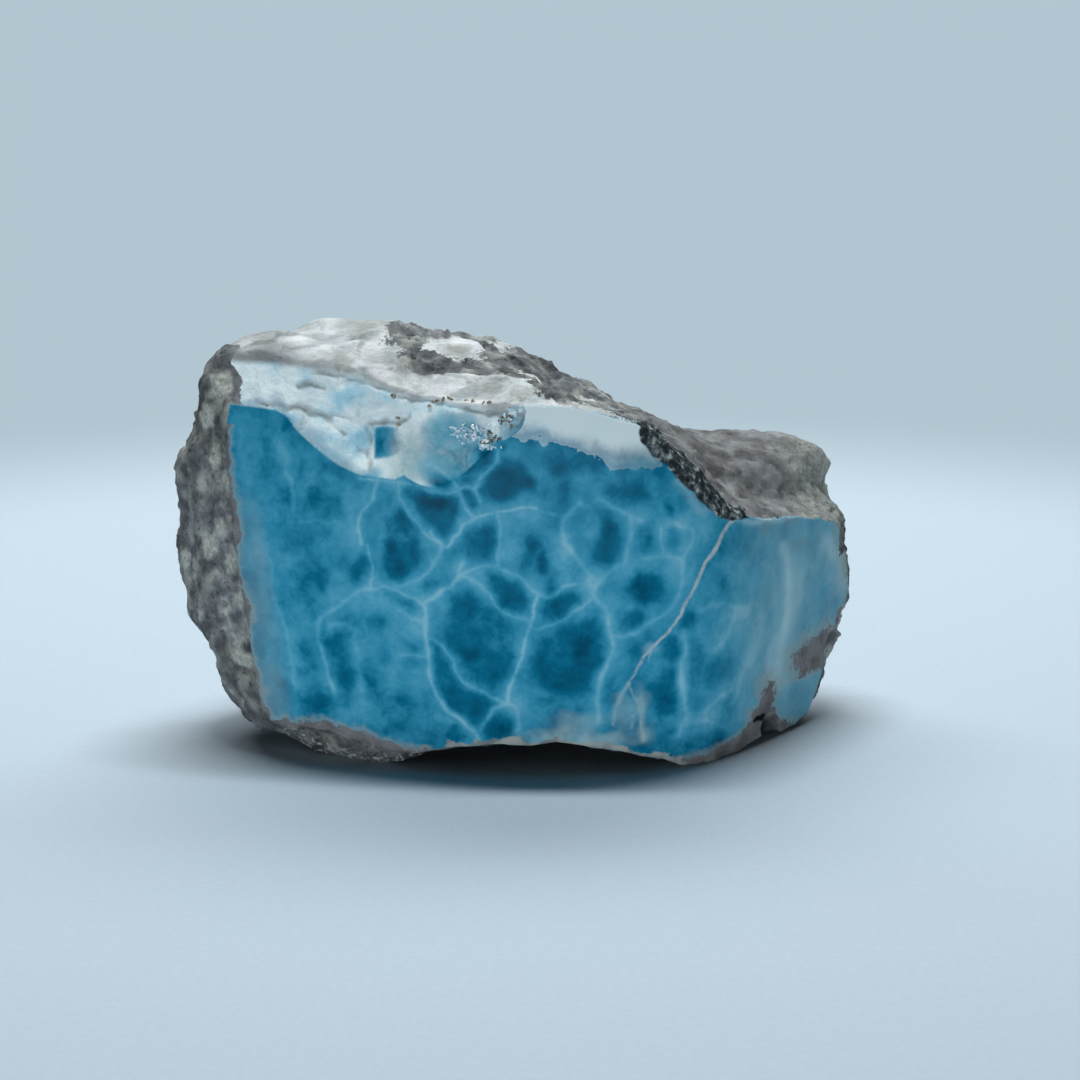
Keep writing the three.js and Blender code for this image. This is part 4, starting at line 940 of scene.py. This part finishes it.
chipped_colour = blend(colour("#7f827c"), colour("#b0b3a8"), between(broad, 0.4, 0.6))
paint = blend(paint, chipped_colour, between(chipped_in, -0.2, 0.2, 0.0, 0.85))
crack_far = add(tree, MATH, {0: read("crack"), 1: between(fine, 0.3, 0.7, -0.05, 0.05)}, operation="ADD")
crack_line = between(crack_far, 0.48, 0.08)
crack_line = add(tree, MATH, {0: crack_line, 1: read("crack_share")}, operation="MULTIPLY")
crack_colour = blend(colour("#8aa6ae"), colour("#b9c9ca"), between(wisps, 0.3, 0.6))
paint = blend(paint, crack_colour, crack_line)
paint = blend(paint, colour("#84856f"), read("rust"))
# Dirt and painted shade: grey lines along the crest, under the ledge and beside the deep blue window.
stain_and_shade_far = add(tree, MATH, {0: read("stain"), 1: between(broad, 0.3, 0.7, -0.3, 0.5)}, operation="ADD")
paint = blend(paint, colour("#7d8782"), between(stain_and_shade_far, 0.9, 0.0, 0.0, 0.55))

# Basalt.
is_ground = read("is_ground")
grain = mottle(0.9, 5.0, 0.7)
patches = mottle(3.6, 4.0, 0.5)
basalt_colour = add(tree, "ShaderNodeValToRGB", {"Fac": patches},
    stops=[(0.34, "#63686a"), (0.45, "#7d8183"), (0.53, "#949898"), (0.60, "#adb1ab"), (0.68, "#c2c5bd")])
basalt_colour = blend(basalt_colour, add(tree, "ShaderNodeValToRGB", {"Fac": mottle(11.0, 2.0)},
    stops=[(0.35, "#b4b3b1"), (0.65, "#ffffff")]), 1.0, "MULTIPLY")
basalt_colour = blend(basalt_colour, colour("#303437"), between(grain, 0.44, 0.34, 0.0, 0.6))
worn_colour = add(tree, "ShaderNodeValToRGB", {"Fac": mottle(5.0, 3.0, 0.5)},
    stops=[(0.36, "#656363"), (0.48, "#7d7e7e"), (0.62, "#9ca09f")])
worn_paint = add(tree, MATH, {0: read("worn"), 1: 0.8}, operation="MULTIPLY")
basalt_colour = blend(basalt_colour, worn_colour, worn_paint)
basalt_colour = blend(basalt_colour, add(tree, "ShaderNodeValToRGB", {"Fac": patches},
    stops=[(0.38, "#716f6f"), (0.60, "#888889")]), is_ground)
basalt_colour = blend(basalt_colour, blend(colour("#a9ad9f"), colour("#d3d7cf"), between(grain, 0.4, 0.6)),
    between(read("paler"), 0.05, 0.7, 0.0, 0.8))
# White calcite flecks along the lip's foot, painted bright as glints.
calcite_glint_flecks = between(mottle(0.9, 2.0, 0.5), 0.54, 0.60)
calcite_glint_flecks = add(tree, MATH, {0: calcite_glint_flecks, 1: read("glint_flecked")}, operation="MULTIPLY")
basalt_colour = blend(basalt_colour, colour("#c3cdcf"), calcite_glint_flecks)
# Painted shade: near-black in the hollow under the lip.
hollow_painted_shade_share = add(tree, MATH, {0: read("hollow_painted_shade"), 1: 0.9}, operation="MULTIPLY")
basalt_colour = blend(basalt_colour, colour("#16181a"), hollow_painted_shade_share)
soft_edge = add(tree, MATH, {0: read("basalt"), 1: between(fine, 0.25, 0.75, -0.35, 0.35)}, operation="ADD")
torn_edge = add(tree, MATH, {0: read("basalt"), 1: between(grain, 0.25, 0.75, -1.6, 1.6)}, operation="ADD")
basalt_share = add(tree, MIX, {0: is_ground, 2: between(torn_edge, -0.5, 0.5),
    3: between(soft_edge, -0.35, 0.35)}, data_type="FLOAT")
fringe = add(tree, MATH, {0: between(soft_edge, -1.5, -0.1, 0.0, 0.6), 1: is_ground}, operation="MULTIPLY")
paint = blend(paint, colour("#99a4a1"), fringe)
paint = blend(paint, basalt_colour, basalt_share)
# Painted shade: near-black in the pit.
paint = blend(paint, colour("#15191b"), between(read("pit_painted_shade"), -0.1, 0.45))
band_colour = add(tree, "ShaderNodeValToRGB", {"Fac": mottle(1.2, 4.0, 0.6)},
    stops=[(0.40, "#242b2e"), (0.50, "#3e4749"), (0.58, "#6f7979"), (0.66, "#b1b9b5")])
band_share = between(read("band"), -0.2, 0.2)
paint = blend(paint, band_colour, band_share)
tree.links.new(paint, surface.inputs["Base Color"])

polish = add(tree, MATH, {0: is_ground, 1: add(tree, MATH, {0: 1.0, 1: basalt_share}, operation="SUBTRACT")},
    operation="MULTIPLY")
dull = between(basalt_share, 0.0, 1.0, 0.55, 0.88)
rough = add(tree, MIX, {0: polish, 2: dull, 3: between(fine, 0.2, 0.8, 0.26, 0.36)}, data_type="FLOAT")
tree.links.new(rough, surface.inputs["Roughness"])
height = add(tree, MATH, {0: grain, 1: between(polish, 0.0, 1.0, 1.0, 0.01)}, operation="MULTIPLY")
bump = add(tree, "ShaderNodeBump", {"Height": height, "Distance": 0.0006, "Strength": 0.9}, give="Normal")
tree.links.new(bump, surface.inputs["Normal"])
stone_mesh.materials.clear()
stone_mesh.materials.append(rock)
stone_mesh.polygons.foreach_set("material_index", [0] * len(stone_mesh.polygons))
for polygon in stone_mesh.polygons:
    polygon.use_smooth = True
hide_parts("stone")
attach(stone, "root")


# ---- The crystals at the top of the slope ----
# Small clear calcite crystals line a gap where the broken slope meets the top. They grew on the stone, each
# at its own angle. Among them stick a few thin brown chips of the wall rock.
lining = bpy.data.node_groups.new("crystal lining", "GeometryNodeTree")
lining.interface.new_socket("Geometry", in_out="INPUT", socket_type="NodeSocketGeometry")
lining.interface.new_socket("Geometry", in_out="OUTPUT", socket_type="NodeSocketGeometry")
for name, kind in {"Stone": "Object", "Where": "String", "Crowding": "Float", "Size": "Vector",
        "Smallest": "Float", "Tilt": "Float", "Finish": "Material"}.items():
    lining.interface.new_socket(name, in_out="INPUT", socket_type="NodeSocket" + kind)
chosen = lining.nodes.new("NodeGroupInput").outputs
body_of_stone = add(lining, "GeometryNodeObjectInfo", {"Object": chosen["Stone"]}, give="Geometry")
where = add(lining, "GeometryNodeInputNamedAttribute", {"Name": chosen["Where"]}, data_type="FLOAT")
scatter = lining.nodes.new("GeometryNodeDistributePointsOnFaces")
lining.links.new(body_of_stone, scatter.inputs["Mesh"])
crowded = add(lining, GMATH, {0: where, 1: chosen["Crowding"]}, operation="MULTIPLY")
lining.links.new(crowded, scatter.inputs["Density"])
scatter.inputs["Seed"].default_value = 4
spin = add(lining, "FunctionNodeRandomValue", {0: (-1, -1, -3.14), 1: (1, 1, 3.14), "Seed": 7},
    data_type="FLOAT_VECTOR")
spin = add(lining, GVECTOR, {0: spin, "Scale": chosen["Tilt"]}, operation="SCALE")
turn = add(lining, "FunctionNodeRotateRotation", {"Rotation": scatter.outputs["Rotation"],
    "Rotate By": add(lining, "FunctionNodeEulerToRotation", {"Euler": spin})}, rotation_space="LOCAL")
grown = add(lining, "FunctionNodeRandomValue", {2: chosen["Smallest"], 3: 1.3, "Seed": 11}, give=1)
prism = add(lining, "GeometryNodeMeshCone", {"Vertices": 6, "Radius Top": 0.55, "Radius Bottom": 1.0,
    "Depth": 2.0})
prism = add(lining, "GeometryNodeTransform", {"Geometry": prism, "Scale": chosen["Size"]})
placed = add(lining, "GeometryNodeInstanceOnPoints", {"Points": scatter.outputs["Points"], "Instance": prism,
    "Rotation": turn, "Scale": grown})
solid = add(lining, "GeometryNodeRealizeInstances", {0: placed})
solid = add(lining, "GeometryNodeSetMaterial", {"Geometry": solid, "Material": chosen["Finish"]})
lining.links.new(solid, lining.nodes.new("NodeGroupOutput").inputs[0])


def grain_finish(name, roughness, crowding, tints):
    """A finish for small grains, mottled from the one tint to the other, so many times in a metre."""
    made = bpy.data.materials.new(name)
    made.use_nodes = True
    made_surface = made.node_tree.nodes["Principled BSDF"]
    made_surface.inputs["Roughness"].default_value = roughness
    within = add(made.node_tree, "ShaderNodeTexCoord", give="Object")
    cloud = add(made.node_tree, "ShaderNodeTexNoise", {"Scale": crowding, "Vector": within})
    tint = add(made.node_tree, "ShaderNodeValToRGB", {"Fac": cloud}, stops=[(0.4, tints[0]), (0.6, tints[1])])
    made.node_tree.links.new(tint, made_surface.inputs["Base Color"])
    return made


# Clear calcite: smooth and bright, so its faces glint. Wall rock: dull, so its chips show as brown specks.
calcite = grain_finish("clear calcite", 0.12, 700.0, ("#8fc3d6", "#f2fbfc"))
calcite.node_tree.nodes["Principled BSDF"].inputs["IOR"].default_value = 1.6
wall_rock = grain_finish("brown wall rock", 0.8, 900.0, ("#545045", "#a09a86"))

# Each kind of grain: its name, where it grows, how many in a square metre, half its size in metres, its tilt.
for name, where, crowding, size, tilt, finish in (
        ("calcite_crystals", "crystals", 6.5e6, (0.00028, 0.00022, 0.0004), 0.7, calcite),
        ("wall_rock_chips", "chips", 4.0e6, (0.0006, 0.00026, 0.00016), 1.0, wall_rock)):
    grains = bpy.data.objects.new(name, bpy.data.meshes.new(name))
    scene.collection.objects.link(grains)
    grower = grains.modifiers.new("lining", "NODES")
    grower.node_group = lining
    sockets = {item.name: item.identifier for item in lining.interface.items_tree if item.in_out == "INPUT"}
    wanted = {"Stone": stone, "Where": where, "Crowding": crowding, "Size": size, "Smallest": 0.5,
        "Tilt": tilt, "Finish": finish}
    for label, value in wanted.items():
        grower[sockets[label]] = value
    grown_mesh = bpy.data.meshes.new_from_object(grains.evaluated_get(bpy.context.evaluated_depsgraph_get()))
    grown_mesh.materials.clear()
    grown_mesh.materials.append(finish)
    grown_mesh.polygons.foreach_set("material_index", [0] * len(grown_mesh.polygons))
    grains.modifiers.clear()
    grains.data = grown_mesh
    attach(grains, "root")
